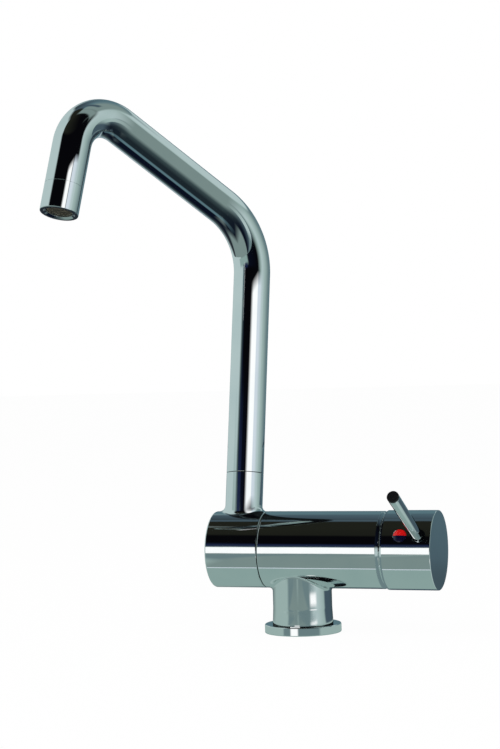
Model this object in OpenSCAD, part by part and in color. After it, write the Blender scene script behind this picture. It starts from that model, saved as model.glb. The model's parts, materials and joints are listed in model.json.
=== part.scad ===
// Fold-down kitchen mixer tap for a sink under a window.
// The frame's origin is the middle of the flange's underside. +X points to the handle,
// -Y to the user and +Z up. The spout stands as it does in use, swung to the front left.

/* [Body] */
// Diameter of the horizontal body and of the folding head
body_d = 48; // [46:0.5:54]
// Height of the body's axis above the worktop
axis_h = 51.5; // [46:0.5:70]
// Distance from the stem's axis to the body's left end
body_left = 21.5; // [21:0.5:36]
// Distance from the stem's axis to the body's right end
body_right = 54.5; // [52:0.5:70]
// Small rounding on the edges where body, head and handle meet
seam_edge = 0.5; // [0.3:0.1:0.8]

/* [Base] */
// Diameter of the stem under the body
stem_d = 37; // [34:0.5:40]
// How much wider the stem is at its foot, on the radius
stem_flare = 0.5; // [0.2:0.1:1]
// Diameter of the flange
flange_d = 48; // [46:0.5:60]
// Thickness of the flange
flange_t = 5.5; // [4:0.5:8]
// Diameter of the register that centres the flange on the stem
register_d = 31; // [29:0.5:32]
// Width of the rubber seal under the flange
seal_w = 3.2; // [2:0.2:3.6]
// Thickness of the rubber seal
seal_t = 1.8; // [1.2:0.2:2.6]

/* [Connections] */
// Tapping diameter of the two hose inlets, M10 x 1
inlet_d = 9; // [8.4:0.1:9.2]
// Depth of the threaded inlets
inlet_depth = 12; // [9:0.5:16]
// Distance between the two inlets
inlet_pitch = 13; // [12:0.5:14]
// Offset of the inlets from the stem's axis, towards the handle
inlet_offset = 5.5; // [4.5:0.5:6]
// Tapping diameter of the fixing stud's hole, M8
stud_d = 6.8; // [5:0.1:7]
// Depth of the fixing stud's hole
stud_depth = 16; // [10:0.5:20]
// Offset of the stud from the stem's axis, towards the head
stud_offset = 8; // [7:0.5:9]

/* [Folding head] */
// Width of the head along the body's axis
head_w = 34; // [33:0.5:44]
// Running gap between body and head
joint_gap = 0.5; // [0.3:0.1:0.8]
// Rounding on the head's outer end
head_edge = 0.9; // [0.6:0.1:3]
// Diameter of the neck and of the spout
spout_d = 23.6; // [22.6:0.2:26]
// Distance from the body's axis to the top of the neck
neck_top = 48.3; // [48:0.1:60]
// Angle by which the standing spout leans back
lean = 10.5; // [0:0.5:15]
// Folding travel of the head, to the front
fold_travel = 100; // [60:5:110]

/* [Head pivot] */
// Diameter of the pivot's journal
journal_d = 22; // [20:0.5:23]
// Diameter of the pivot's thread in the body
pivot_thread_d = 18; // [16:0.5:19]
// Depth of the pivot's thread in the body
pivot_thread_l = 12; // [9:0.5:14]
// Diameter of the waterway through the pivot
pivot_way_d = 11; // [8:0.5:12]
// Radial thickness of the O-rings
oring_t = 1.8; // [1.4:0.2:2]
// Diameter of the water chamber round the pivot
chamber_ring_d = 28; // [25:0.5:30]
// Width of the water chamber round the pivot
chamber_ring_w = 10; // [8:0.5:11]
// Thickness of the retaining washer
washer_t = 1.5; // [1:0.1:1.8]
// Thickness of the cover that closes the head's end
end_cover_t = 2.1; // [1.6:0.1:2.4]
// Diameter of the cover that closes the head's end
end_cover_d = 32; // [30:0.5:36]
// Diameter of the stop pin
stop_pin_d = 3; // [2:0.2:3.4]
// Distance of the stop pin from the body's axis
stop_pin_r = 17.5; // [17.5:0.1:18.5]

/* [Spout] */
// Angle by which the spout is swung from the head's end towards the front
swing = 59; // [0:1:180]
// Length from the neck's top to the first corner
rise_l = 159.7; // [120:0.1:240]
// Length from corner to corner along the sloping part
slope_l = 151.5; // [130:0.5:240]
// Length from the upper corner to the outlet's rim
drop_l = 77.5; // [72:0.5:110]
// Angle of the sloping part above the square to the upright
slope_angle = 22.5; // [0:0.5:35]
// Angle by which the outlet points outwards
outlet_angle = 8.5; // [0:0.5:20]
// Centre-line radius of the lower bend
low_bend_r = 44; // [30:1:60]
// Centre-line radius of the upper bend
top_bend_r = 25; // [22:0.5:33]
// Wall of the spout tube
tube_wall = 1.2; // [0.8:0.1:1.6]
// Length of the spigot in the neck
spout_spigot_l = 20; // [18:0.5:21]
// Diameter of the spigot in the neck
spout_spigot_d = 18; // [17:0.1:18.4]
// Length of the spigot inside the tube
spout_root_l = 12; // [8:0.5:20]
// Diameter of the waterway through the neck
neck_way_d = 12; // [9:0.5:12.4]
// Diameter of the set screws
set_screw_d = 5; // [4:0.5:5]

/* [Outlet] */
// Length of the aerator's sleeve
sleeve_l = 17.5; // [16:0.5:26]
// Length of the thread that holds the sleeve in the tube
sleeve_thread_l = 6; // [4:0.5:8]
// Diameter of the bore in the sleeve
sleeve_bore_d = 18.4; // [17:0.1:19]
// Height of the lip that holds the aerator
lip_h = 2; // [1.4:0.1:3]
// Length of the aerator's insert
insert_l = 12; // [9:0.5:13]
// Thickness of the aerator's washer
aerator_washer_t = 2; // [1.4:0.1:2.6]
// Thickness of the aerator's screen
screen_t = 0.6; // [0.4:0.1:0.8]
// Distance between the bars of the screen
screen_pitch = 1.9; // [1.6:0.1:3]
// Width of the bars of the screen
screen_bar = 0.5; // [0.4:0.1:0.8]

/* [Cartridge] */
// Diameter of the cartridge
cartridge_d = 35; // [33:0.5:36]
// Wall of the cartridge's housing
housing_wall = 2; // [1.6:0.1:2.2]
// Thickness of the cartridge's base
base_t = 4; // [3:0.1:5]
// Thickness of the fixed ceramic disc
fixed_disc_t = 3; // [2.5:0.1:4]
// Thickness of the moving ceramic disc
moving_disc_t = 3; // [2.5:0.1:3.5]
// Thickness of the carrier on the moving disc
carrier_t = 6; // [5.6:0.1:6.4]
// Diameter of the moving ceramic disc
moving_disc_d = 24; // [22:0.5:24.4]
// Length of the part that turns in the housing
rotor_l = 10; // [9:0.1:11]
// Thickness of the housing's lip
housing_lip = 1; // [0.8:0.1:1.6]
// Length of the nut's thread
nut_thread_l = 4.5; // [4:0.1:6]
// Length of the nut's hexagon
nut_hex_l = 3.5; // [2.5:0.1:4]
// Diameter of the nut's thread
nut_d = 39; // [38.5:0.5:40]
// Diameter of the spindle's pivot pin
pivot_pin_d = 3; // [2:0.2:3.4]
// Distance from the spindle's pivot to the middle of its ball end
ball_arm = 9; // [8.8:0.1:9.4]
// Diameter of the spindle's ball end
ball_d = 6; // [5.4:0.1:6.2]
// Diameter of the spindle's barrel
spindle_d = 9; // [8:0.1:9.2]
// Width across the spindle's square
spindle_sq = 8; // [6:0.1:8.2]
// Tilt of the handle, from closed to full flow
tilt_travel = 18; // [10:1:18]

/* [Handle] */
// How far the handle's cap stands out past the body, on the radius
cap_proud = 0.5; // [0.4:0.1:1]
// Length of the handle's cap
cap_l = 31.5; // [30:0.5:44]
// Width of the dome ring that shows between body and cap
dome_show = 2.5; // [2:0.1:3]
// Distance from the spindle's pivot to the body's right end
pivot_depth = 12.5; // [12:0.1:13]
// Thickness of the dome ring
dome_t = 1.5; // [1:0.1:1.6]
// Thickness of the cap's end
cap_end_t = 3; // [2:0.1:4]
// Diameter of the boss that grips the spindle
boss_d = 14; // [13:0.2:14.4]
// Distance of the lever from the cap's rim
lever_at = 23.8; // [21:0.1:24]
// Angle of the lever above the horizontal
lever_angle = 26; // [10:1:80]
// Distance from the axis to the lever's tip
lever_tip = 87; // [60:1:120]
// Diameter of the lever where it leaves the cap
lever_root_d = 6.6; // [5.6:0.1:7]
// Diameter of the lever at its tip
lever_tip_d = 7.2; // [5.6:0.1:9]
// Length of the black plug in the lever's tip
tip_plug_l = 1.6; // [1:0.1:4]
// Distance of the index plug from the cap's rim
index_at = 12.4; // [12:0.1:13]
// Diameter of the index plug
index_d = 8; // [7:0.1:9]

/* [Clearances] */
// Radial play of the turning fits
fit = 0.06; // [0.03:0.01:0.09]
// Gap between moving pieces that don't touch
run_gap = 0.35; // [0.32:0.01:0.4]

/* [Hidden] */
$fn = 96;
over = 1; // how far a cut runs past the face it opens

body_r = body_d / 2;
spout_r = spout_d / 2;
lever_thread_d = 5;
lever_thread_l = 12;
nut_web = 7;
spindle_foot = 6;
spindle_reach = 11;
slot_reach = 4.5;
disc_rim = 5;
boss_inset = 9;
washer_recess = 1;
edge_steps = 5;

// Folding head, from the body's left face outwards
head_x1 = -body_left - joint_gap;
head_x0 = head_x1 - head_w;
neck_x = (head_x0 + head_x1) / 2;
journal_r = journal_d / 2;
journal_bore_r = journal_r + fit;
cover_x = head_x0 + end_cover_t;
screw_head_l = 1.7;
screw_head_r = 5;
screw_shank_r = 3;
screw_shank_l = 5.3;
retaining_x = cover_x + run_gap + screw_head_l;
journal_end_x = retaining_x + washer_t;
head_shoulder_x = journal_end_x + run_gap;
cavity_r = end_cover_d / 2 - 1.5;
socket_x = -body_left + pivot_thread_l;
pivot_way_end_x = neck_x - chamber_ring_w / 2 + 0.8;
thrust_outer_r = journal_r + 4;
thrust_face_gap = 0.1;
stop_pin_reach = 3;
journal_oring_xs = [neck_x - chamber_ring_w / 2 - 2.6, neck_x + chamber_ring_w / 2 + 4.2];

// Neck and spout, as distances from the body's axis along the neck
swivel_gap = 0.3;
tube_start = neck_top + swivel_gap / 2;
neck_end = neck_top - swivel_gap / 2;
neck_bore_r = spout_spigot_d / 2 + fit;
spigot_foot = neck_end - spout_spigot_l;
neck_floor = spigot_foot - 0.8;
set_screw_at = neck_end - spout_spigot_l / 2;
stop_groove_w = set_screw_d;
stop_groove_depth = 1.4;
glide_l = 1.8;
glide_w = 1.2;
spout_oring_at = [spigot_foot + 3.4, neck_end - glide_l - 3];
low_turn = 90 - slope_angle;
top_turn = slope_angle + 90 - outlet_angle;
low_cut = low_bend_r * tan(low_turn / 2);
top_cut = top_bend_r * tan(top_turn / 2);
upright_l = neck_top + rise_l - low_cut - tube_start;
sloping_l = slope_l - low_cut - top_cut;
outlet_l = drop_l - top_cut;
tube_bore_r = spout_r - tube_wall;
bend_lap = 0.4;
bend_thin = 0.04;

// Cartridge, from the handle's pivot towards the body's left end
pivot_x = body_right - pivot_depth;
disc_film = 0.05;
ball_x = pivot_x - ball_arm;
rotor_x1 = pivot_x + pivot_pin_d / 2 + 1.1;
rotor_x0 = rotor_x1 - rotor_l;
housing_x1 = rotor_x1 + run_gap + housing_lip;
carrier_x1 = rotor_x0 - run_gap;
carrier_x0 = carrier_x1 - carrier_t;
moving_disc_x0 = carrier_x0 - moving_disc_t;
fixed_disc_x1 = moving_disc_x0 - disc_film;
fixed_disc_x0 = fixed_disc_x1 - fixed_disc_t;
base_x0 = fixed_disc_x0 - base_t;
housing_bore_r = cartridge_d / 2 - housing_wall;
rotor_r = housing_bore_r - run_gap;
chamber_r = cartridge_d / 2 + 0.1;
housing_opening_r = housing_bore_r - 3.2;
pocket_r = ball_d / 2 + 0.45;
pocket_floor_x = ball_x - ball_d / 2 - 0.5;
ball_neck_r = ball_d / 2 - 0.6;
rail_n = 9.4;
rail_w = 2;
rail_l = 18;
carrier_n = rail_n - run_gap;
spindle_slot_n = spindle_d / 2 + run_gap;
spindle_slot_l = 2 * (spindle_d / 2 + slot_reach);
port_n = 5;
port_drop = 4;
port_d = 4.8;
mix_rise = 4.5;
mix_d = 6;
// Ports in the cartridge's base as [along Y, along Z, diameter]: hot, cold and mixed
ports = [[port_n, -port_drop, port_d], [-port_n, -port_drop, port_d], [0, mix_rise, mix_d]];
port_seal_t = 1.2;

// Handle, from the body's right face outwards
cap_x0 = body_right + dome_show;
cap_x1 = cap_x0 + cap_l;
cap_r = body_r + cap_proud;
dome_r = norm([pivot_depth, body_r]);
dome_inner_r = dome_r - dome_t;
cap_rim_x = dome_show + pivot_depth;
cap_bore_r = sqrt(pow(dome_r, 2) - pow(cap_rim_x, 2)) + run_gap + 0.05;
dome_hole_angle = atan2(boss_d / 2, pivot_depth + dome_show + boss_inset) + tilt_travel + 2.2;
dome_spigot_l = 4;
dome_spigot_r = nut_d / 2 + 2;
boss_x0 = cap_x0 + boss_inset;
boss_x1 = cap_x1 - cap_end_t;
index_x = cap_x0 + index_at;
lever_x = cap_x0 + lever_at;
square_x1 = index_x + set_screw_d / 2 + 4;
web_n = index_d / 2 + 1.2;
web_top = cap_bore_r + 0.6;
index_floor = cap_r - 2.5;
index_dome_r = 12;
index_proud = 0.5;
lever_seat = cap_r - 1.7;
lever_thread_foot = lever_seat - lever_thread_l;
countersink_h = cap_r - lever_seat;
countersink_w = 1.2;
countersink_r = lever_root_d / 2 + 0.1 + countersink_w;
nut_x0 = housing_x1;
nut_thread_x1 = nut_x0 + nut_thread_l;
nut_x1 = nut_thread_x1 + nut_hex_l;
nut_bore_r = nut_d / 2 - nut_web;
handle_screw_l = 8;

// Points of an arc from angle a0 to a1
function arc(c, r, a0, a1) =
    [for (i = [0 : edge_steps]) let (a = a0 + (a1 - a0) * i / edge_steps) c + r * [cos(a), sin(a)]];

// Half outline of a bar from x0 to x1 with rounded edges, as [radius, place along the axis]
function bar_outline(x0, x1, r, e0, e1) =
    concat([[0, x0]], arc([r - e0, x0 + e0], e0, -90, 0), arc([r - e1, x1 - e1], e1, 0, 90), [[0, x1]]);

// A plain round bar along the body's axis
module bar_x(x0, x1, r) {
    translate([x0, 0, axis_h]) rotate([0, 90, 0]) cylinder(h = x1 - x0, r = r);
}

// A ring along the body's axis
module ring_x(x0, x1, r_out, r_in) {
    difference() {
        bar_x(x0, x1, r_out);
        bar_x(x0 - over, x1 + over, r_in);
    }
}

// A turned piece along the body's axis, from its half outline
module turned_x(outline) {
    translate([0, 0, axis_h]) rotate([0, 90, 0]) rotate_extrude() polygon(outline);
}

// An O-ring that lies in a groove on a bar of radius r, round the local Z axis
module oring(at, r) {
    translate([0, 0, at]) rotate_extrude() translate([r - oring_t / 2, 0]) circle(d = oring_t);
}

// The groove of that O-ring
module oring_groove(at, r) {
    translate([0, 0, at - oring_t / 2]) difference() {
        cylinder(h = oring_t, r = r + over);
        translate([0, 0, -over]) cylinder(h = oring_t + 2 * over, r = r - oring_t);
    }
}

// Local Z along +X, local X along +Y
module along_axis() {
    translate([0, 0, axis_h]) rotate([90, 0, 90]) children();
}

// Local Z along the lever, local X along +X and local Y along the handle's tilting axis
module at_lever(x) {
    translate([x, 0, axis_h]) rotate([90 - lever_angle, 0, 0]) children();
}

// Local Z up the neck, from the body's axis
module on_neck() {
    translate([neck_x, 0, axis_h]) rotate([-lean, 0, 0]) children();
}

// The same, with local X pointing the way the spout reaches
module on_spout() {
    on_neck() rotate([0, 0, 180 + swing]) children();
}

// A bend that starts along Z and turns towards X
module bend(radius, turn, r) {
    translate([radius, 0, 0]) rotate([90, 0, 0]) rotate([0, 0, 180 - turn])
        rotate_extrude(angle = turn) translate([radius, 0]) circle(r = r);
}

// The frame at the end of such a bend, which follows a straight of length l
module past_bend(l, radius, turn) {
    translate([radius * (1 - cos(turn)), 0, l + radius * sin(turn)]) rotate([0, turn, 0]) children();
}

// Local Z down the outlet, from the end of the upper bend
module at_outlet() {
    on_spout() translate([0, 0, tube_start]) past_bend(upright_l, low_bend_r, low_turn)
        past_bend(sloping_l, top_bend_r, top_turn) children();
}

// The spout's run as one round bar, with both ends moved out by past. Each straight laps over
// the bends beside it, which are drawn a little thinner.
module spout_run(r, past) {
    on_spout() translate([0, 0, tube_start]) {
        translate([0, 0, -past]) cylinder(h = upright_l + bend_lap + past, r = r);
        translate([0, 0, upright_l]) bend(low_bend_r, low_turn, r - bend_thin);
        past_bend(upright_l, low_bend_r, low_turn) {
            translate([0, 0, -bend_lap]) cylinder(h = sloping_l + 2 * bend_lap, r = r);
            translate([0, 0, sloping_l]) bend(top_bend_r, top_turn, r - bend_thin);
        }
    }
    at_outlet() translate([0, 0, -bend_lap]) cylinder(h = outlet_l - sleeve_l + bend_lap + past, r = r);
}

// Brass body: horizontal barrel, stem, cartridge chamber, pivot socket and waterways
module main_body() {
    color("silver") difference() {
        union() {
            turned_x(bar_outline(-body_left, body_right, body_r, seam_edge, seam_edge));
            translate([0, 0, flange_t]) {
                cylinder(h = axis_h - flange_t, d = stem_d);
                cylinder(h = 2 * flange_t, r1 = stem_d / 2 + stem_flare, r2 = stem_d / 2);
            }
            cylinder(h = flange_t + over, d = register_d);
        }
        bar_x(base_x0, body_right + over, chamber_r);
        bar_x(nut_x0, body_right + over, nut_d / 2);
        bar_x(body_right - dome_spigot_l, body_right + over, dome_spigot_r);
        bar_x(-body_left - over, socket_x, pivot_thread_d / 2);
        bar_x(-body_left - over, -body_left + washer_recess, thrust_outer_r);
        along_axis() translate([0, mix_rise, socket_x - over]) cylinder(h = base_x0 - socket_x + 2 * over, d = mix_d);
        along_axis() translate([0, -stop_pin_r, -body_left - over])
            cylinder(h = stop_pin_reach + 1.5 + over, d = stop_pin_d);
        for (side = [-1, 1]) {
            translate([inlet_offset, side * inlet_pitch / 2, -over]) cylinder(h = inlet_depth + over, d = inlet_d);
            translate([inlet_offset, side * port_n, inlet_depth - over])
                cylinder(h = axis_h - port_drop - inlet_depth + over, d = port_d);
            along_axis() translate([side * port_n, -port_drop, inlet_offset])
                cylinder(h = base_x0 - inlet_offset + over, d = port_d);
        }
        translate([-stud_offset, 0, -over]) cylinder(h = stud_depth + over, d = stud_d);
    }
}

// Chromed flange that covers the worktop's hole
module base_flange() {
    color("silver") difference() {
        rotate_extrude() polygon(concat([[register_d / 2, 0]],
            arc([flange_d / 2 - seam_edge, seam_edge], seam_edge, -90, 0),
            arc([flange_d / 2 - seam_edge, flange_t - seam_edge], seam_edge, 0, 90),
            [[register_d / 2, flange_t]]));
        translate([0, 0, -over]) difference() {
            cylinder(h = seal_t + over, r = register_d / 2 + 1.6 + seal_w);
            translate([0, 0, -over]) cylinder(h = seal_t + 3 * over, r = register_d / 2 + 1.6);
        }
    }
}

// Rubber ring in the flange's underside
module base_seal() {
    color("dimgray") difference() {
        cylinder(h = seal_t, r = register_d / 2 + 1.6 + seal_w);
        translate([0, 0, -over]) cylinder(h = seal_t + 2 * over, r = register_d / 2 + 1.6);
    }
}

// The cartridge's three ports, cut through from x0 to x1
module port_holes(x0, x1) {
    for (p = ports) along_axis() translate([p[0], p[1], x0]) cylinder(h = x1 - x0, d = p[2]);
}

// Cartridge base with recesses for the port seals
module cartridge_base() {
    color("whitesmoke") difference() {
        bar_x(base_x0, fixed_disc_x0, cartridge_d / 2);
        port_holes(base_x0 - over, fixed_disc_x0 + over);
        for (p = ports) along_axis() translate([p[0], p[1], base_x0 - over])
            cylinder(h = port_seal_t + over, d = p[2] + 2 * port_seal_t);
    }
}

// One rubber ring round each port
module cartridge_seals() {
    color("black") for (p = ports) along_axis() translate([p[0], p[1], base_x0]) difference() {
        cylinder(h = port_seal_t, d = p[2] + 2 * port_seal_t);
        translate([0, 0, -over]) cylinder(h = port_seal_t + 2 * over, d = p[2]);
    }
}

// Fixed ceramic disc
module fixed_ceramic_disc() {
    color("ivory") difference() {
        bar_x(fixed_disc_x0, fixed_disc_x1, housing_bore_r);
        port_holes(fixed_disc_x0 - over, fixed_disc_x1 + over);
    }
}

// Housing that holds discs and rotor
module cartridge_housing() {
    color("gainsboro") difference() {
        bar_x(fixed_disc_x0, housing_x1, cartridge_d / 2);
        bar_x(fixed_disc_x0 - over, housing_x1 - housing_lip, housing_bore_r);
        bar_x(housing_x1 - housing_lip - over, housing_x1 + over, housing_opening_r);
    }
}

// Nut that clamps the cartridge
module cartridge_nut() {
    color("goldenrod") difference() {
        union() {
            bar_x(nut_x0, nut_thread_x1, nut_d / 2);
            translate([nut_thread_x1, 0, axis_h]) rotate([0, 90, 0])
                cylinder(h = nut_hex_l, r = nut_d / 2 - 2.5, $fn = 6);
        }
        bar_x(nut_x0 - over, nut_x1 + over, nut_bore_r);
    }
}

// Half outline of the dome ring: a slice of a hollow ball round the spindle's pivot
function ball_slice(r, a0, a1) =
    [for (i = [0 : 16]) let (a = a0 + (a1 - a0) * i / 16) [r * sin(a), pivot_x + r * cos(a)]];

// Dome ring that the cap tilts round, with its spigot in the body's mouth
module dome_ring() {
    seat_angle = atan2(body_r, pivot_depth);
    seat_inner = acos((body_right - pivot_x) / dome_inner_r);
    color("silver") union() {
        turned_x(concat(ball_slice(dome_r, seat_angle, dome_hole_angle),
            ball_slice(dome_inner_r, dome_hole_angle, seat_inner)));
        ring_x(body_right - dome_spigot_l, body_right + dome_t / 2, dome_spigot_r, nut_d / 2 + 0.2);
        ring_x(body_right, body_right + dome_t / 2, body_r - 1, dome_spigot_r - 0.2);
    }
}

// Brass pivot screwed into the body, on which the head folds
module pivot_spigot() {
    color("goldenrod") difference() {
        union() {
            bar_x(-body_left, socket_x, pivot_thread_d / 2);
            bar_x(journal_end_x, -body_left, journal_r);
        }
        bar_x(pivot_way_end_x, socket_x + over, pivot_way_d / 2);
        for (turn = [0, 90]) translate([neck_x, 0, axis_h]) rotate([turn, 0, 0])
            translate([0, 0, -journal_r - over]) cylinder(h = journal_d + 2 * over, d = mix_d);
        for (x = journal_oring_xs) along_axis() oring_groove(x, journal_r);
        bar_x(journal_end_x - over, journal_end_x + screw_shank_l, screw_shank_r);
    }
}

// O-rings on the pivot
module pivot_orings() {
    color("black") for (x = journal_oring_xs) along_axis() oring(x, journal_r);
}

// Slippery washer between body and head
module thrust_washer() {
    color("white") ring_x(head_x1 + thrust_face_gap, -body_left + washer_recess, thrust_outer_r, journal_r + 0.3);
}

// Pin in the body that stops the folding head at both ends of its slot
module stop_pin() {
    color("lightsteelblue") along_axis() translate([0, -stop_pin_r, head_x1 - stop_pin_reach])
        cylinder(h = joint_gap + 2 * stop_pin_reach + 1.5, d = stop_pin_d);
}

// Washer that keeps the head on the pivot
module retaining_washer() {
    color("lightsteelblue") ring_x(retaining_x, journal_end_x, cavity_r - 0.8, screw_shank_r);
}

// Socket screw in the pivot's end
module retaining_screw() {
    color("lightsteelblue") difference() {
        union() {
            bar_x(retaining_x - screw_head_l, retaining_x, screw_head_r);
            bar_x(retaining_x, journal_end_x + screw_shank_l, screw_shank_r);
        }
        translate([retaining_x - screw_head_l - over, 0, axis_h]) rotate([0, 90, 0])
            cylinder(h = 1.1 + over, r = 2.3, $fn = 6);
    }
}

// Slot for the stop pin, as long as the head's folding travel
module stop_slot() {
    slot_half = stop_pin_d / 2 + run_gap;
    side = asin(slot_half / stop_pin_r);
    along_axis() translate([0, 0, head_x1 - stop_pin_reach - run_gap])
        rotate([0, 0, -90 - fold_travel - side]) rotate_extrude(angle = fold_travel + 2 * side)
            translate([stop_pin_r - slot_half, 0]) square([2 * slot_half, stop_pin_reach + run_gap + over]);
}

// Head that folds on the pivot, with the neck that carries the spout
module swivel_head() {
    color("silver") difference() {
        union() {
            turned_x(bar_outline(head_x0, head_x1, body_r, head_edge, seam_edge));
            on_neck() cylinder(h = neck_end, r = spout_r);
        }
        bar_x(head_shoulder_x, head_x1 + over, journal_bore_r);
        bar_x(neck_x - chamber_ring_w / 2, neck_x + chamber_ring_w / 2, chamber_ring_d / 2);
        bar_x(cover_x, head_shoulder_x, cavity_r);
        bar_x(head_x0 - over, cover_x, end_cover_d / 2);
        stop_slot();
        on_neck() {
            translate([0, 0, journal_r]) cylinder(h = neck_floor - journal_r + over, d = neck_way_d);
            translate([0, 0, neck_floor]) cylinder(h = spout_spigot_l + 2 * over, r = neck_bore_r);
            translate([0, 0, neck_end - glide_l]) cylinder(h = glide_l + over, r = neck_bore_r + glide_w);
            translate([0, 0, set_screw_at]) rotate([-90, 0, 0]) cylinder(h = spout_r + over, d = set_screw_d);
        }
    }
}

// Cover over the retaining screw
module head_end_cover() {
    color("silver") bar_x(head_x0, cover_x, end_cover_d / 2);
}

// Plastic ring at the neck's mouth
module neck_glide_ring() {
    color("white") on_neck() translate([0, 0, neck_end - glide_l]) difference() {
        cylinder(h = glide_l, r = neck_bore_r + glide_w);
        translate([0, 0, -over]) cylinder(h = glide_l + 2 * over, r = neck_bore_r + 0.05);
    }
}

// Screw behind the neck whose tip runs in the spigot's groove
module spout_set_screw() {
    tip = spout_spigot_d / 2 - stop_groove_depth + run_gap;
    color("lightsteelblue") on_neck() translate([0, 0, set_screw_at]) rotate([-90, 0, 0]) difference() {
        union() {
            translate([0, 0, tip]) cylinder(h = neck_bore_r + 0.3 - tip, d = set_screw_d - 2 * run_gap - 0.4);
            translate([0, 0, neck_bore_r + 0.1]) cylinder(h = spout_r - neck_bore_r - 0.5, d = set_screw_d);
        }
        translate([0, 0, spout_r - 1.4]) cylinder(h = 2 * over, r = 1.4, $fn = 6);
    }
}

// Bent spout tube
module spout_tube() {
    color("silver") difference() {
        spout_run(spout_r, 0);
        spout_run(tube_bore_r, over);
    }
}

// Brass spigot fixed in the tube's foot, which turns in the neck
module spout_spigot() {
    color("goldenrod") on_spout() difference() {
        union() {
            translate([0, 0, spigot_foot]) cylinder(h = tube_start - spigot_foot, d = spout_spigot_d);
            translate([0, 0, tube_start]) cylinder(h = spout_root_l, r = tube_bore_r);
        }
        translate([0, 0, spigot_foot - over])
            cylinder(h = spout_spigot_l + spout_root_l + 3 * over, d = neck_way_d - 1);
        for (s = spout_oring_at) oring_groove(s, spout_spigot_d / 2);
        translate([0, 0, set_screw_at - stop_groove_w / 2]) difference() {
            cylinder(h = stop_groove_w, r = spout_spigot_d / 2 + over);
            translate([0, 0, -over])
                cylinder(h = stop_groove_w + 2 * over, r = spout_spigot_d / 2 - stop_groove_depth);
        }
    }
}

// O-rings on the spout's spigot
module spout_orings() {
    color("black") on_spout() for (s = spout_oring_at) oring(s, spout_spigot_d / 2);
}

// Sleeve that ends the spout and holds the aerator
module aerator_sleeve() {
    bore_r = sleeve_bore_d / 2;
    z0 = outlet_l - sleeve_l;
    color("silver") at_outlet() rotate_extrude() polygon(concat([
        [bore_r, z0 - sleeve_thread_l], [tube_bore_r, z0 - sleeve_thread_l], [tube_bore_r, z0],
        [spout_r - 0.25, z0], [spout_r, z0 + 0.25]],
        arc([spout_r - seam_edge, outlet_l - seam_edge], seam_edge, 0, 90),
        [[bore_r + 0.6, outlet_l], [bore_r - 1, outlet_l - lip_h / 2],
        [bore_r - 1, outlet_l - lip_h], [bore_r, outlet_l - lip_h]]));
}

// Plastic insert of the aerator
module aerator_insert() {
    color("dimgray") at_outlet() translate([0, 0, outlet_l - lip_h - insert_l]) difference() {
        cylinder(h = insert_l, d = sleeve_bore_d);
        translate([0, 0, -over]) cylinder(h = insert_l + 2 * over, r = sleeve_bore_d / 2 - 2);
        translate([0, 0, insert_l - screen_t]) cylinder(h = screen_t + over, r = sleeve_bore_d / 2 - 1.2);
    }
}

// Screen at the outlet
module aerator_screen() {
    r = sleeve_bore_d / 2 - 1.2;
    bars = floor(r / screen_pitch);
    color("darkkhaki") at_outlet() translate([0, 0, outlet_l - lip_h - screen_t]) linear_extrude(screen_t) {
        difference() {
            circle(r = r);
            circle(r = r - 0.8);
        }
        intersection() {
            circle(r = r - 0.4);
            union() for (i = [-bars : bars]) {
                translate([i * screen_pitch - screen_bar / 2, -r]) square([screen_bar, 2 * r]);
                translate([-r, i * screen_pitch - screen_bar / 2]) square([2 * r, screen_bar]);
            }
        }
    }
}

// Rubber washer above the aerator
module aerator_washer() {
    color("black") at_outlet() translate([0, 0, outlet_l - lip_h - insert_l - aerator_washer_t]) difference() {
        cylinder(h = aerator_washer_t, d = sleeve_bore_d);
        translate([0, 0, -over]) cylinder(h = aerator_washer_t + 2 * over, r = sleeve_bore_d / 2 - 2);
    }
}

// Part of the cartridge that turns with the handle and carries the spindle's pivot
module cartridge_rotor() {
    color("lightgray") difference() {
        union() {
            bar_x(rotor_x0, rotor_x1, rotor_r);
            for (side = [-1, 1]) at_lever(0)
                translate([carrier_x0 + run_gap, side * (rail_n + rail_w / 2) - rail_w / 2, -rail_l / 2])
                    cube([rotor_x0 - carrier_x0, rail_w, rail_l]);
        }
        at_lever(0) translate([rotor_x0 - over, -spindle_slot_n, -spindle_slot_l / 2])
            cube([rotor_l + 2 * over, 2 * spindle_slot_n, spindle_slot_l]);
        at_lever(pivot_x) rotate([90, 0, 0]) translate([0, 0, -rotor_r - over])
            cylinder(h = 2 * rotor_r + 2 * over, d = pivot_pin_d);
    }
}

// Pin on which the spindle tilts
module spindle_pivot_pin() {
    color("lightsteelblue") at_lever(pivot_x) rotate([90, 0, 0]) translate([0, 0, -rotor_r + 1])
        cylinder(h = 2 * rotor_r - 2, d = pivot_pin_d);
}

// Ceramic disc that the spindle slides over the fixed one, with its mixing pocket
module moving_ceramic_disc() {
    color("ivory") difference() {
        bar_x(moving_disc_x0, carrier_x0, moving_disc_d / 2);
        bar_x(moving_disc_x0 - over, moving_disc_x0 + moving_disc_t / 2, moving_disc_d / 2 - disc_rim);
    }
}

// Carrier on the moving disc, with the pocket for the spindle's ball end
module disc_carrier() {
    color("lightgray") difference() {
        intersection() {
            bar_x(carrier_x0, carrier_x1, moving_disc_d / 2);
            at_lever(0) translate([carrier_x0 - over, -carrier_n, -moving_disc_d / 2 - over])
                cube([carrier_t + 2 * over, 2 * carrier_n, moving_disc_d + 2 * over]);
        }
        bar_x(pocket_floor_x, carrier_x1 + over, pocket_r);
    }
}

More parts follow.
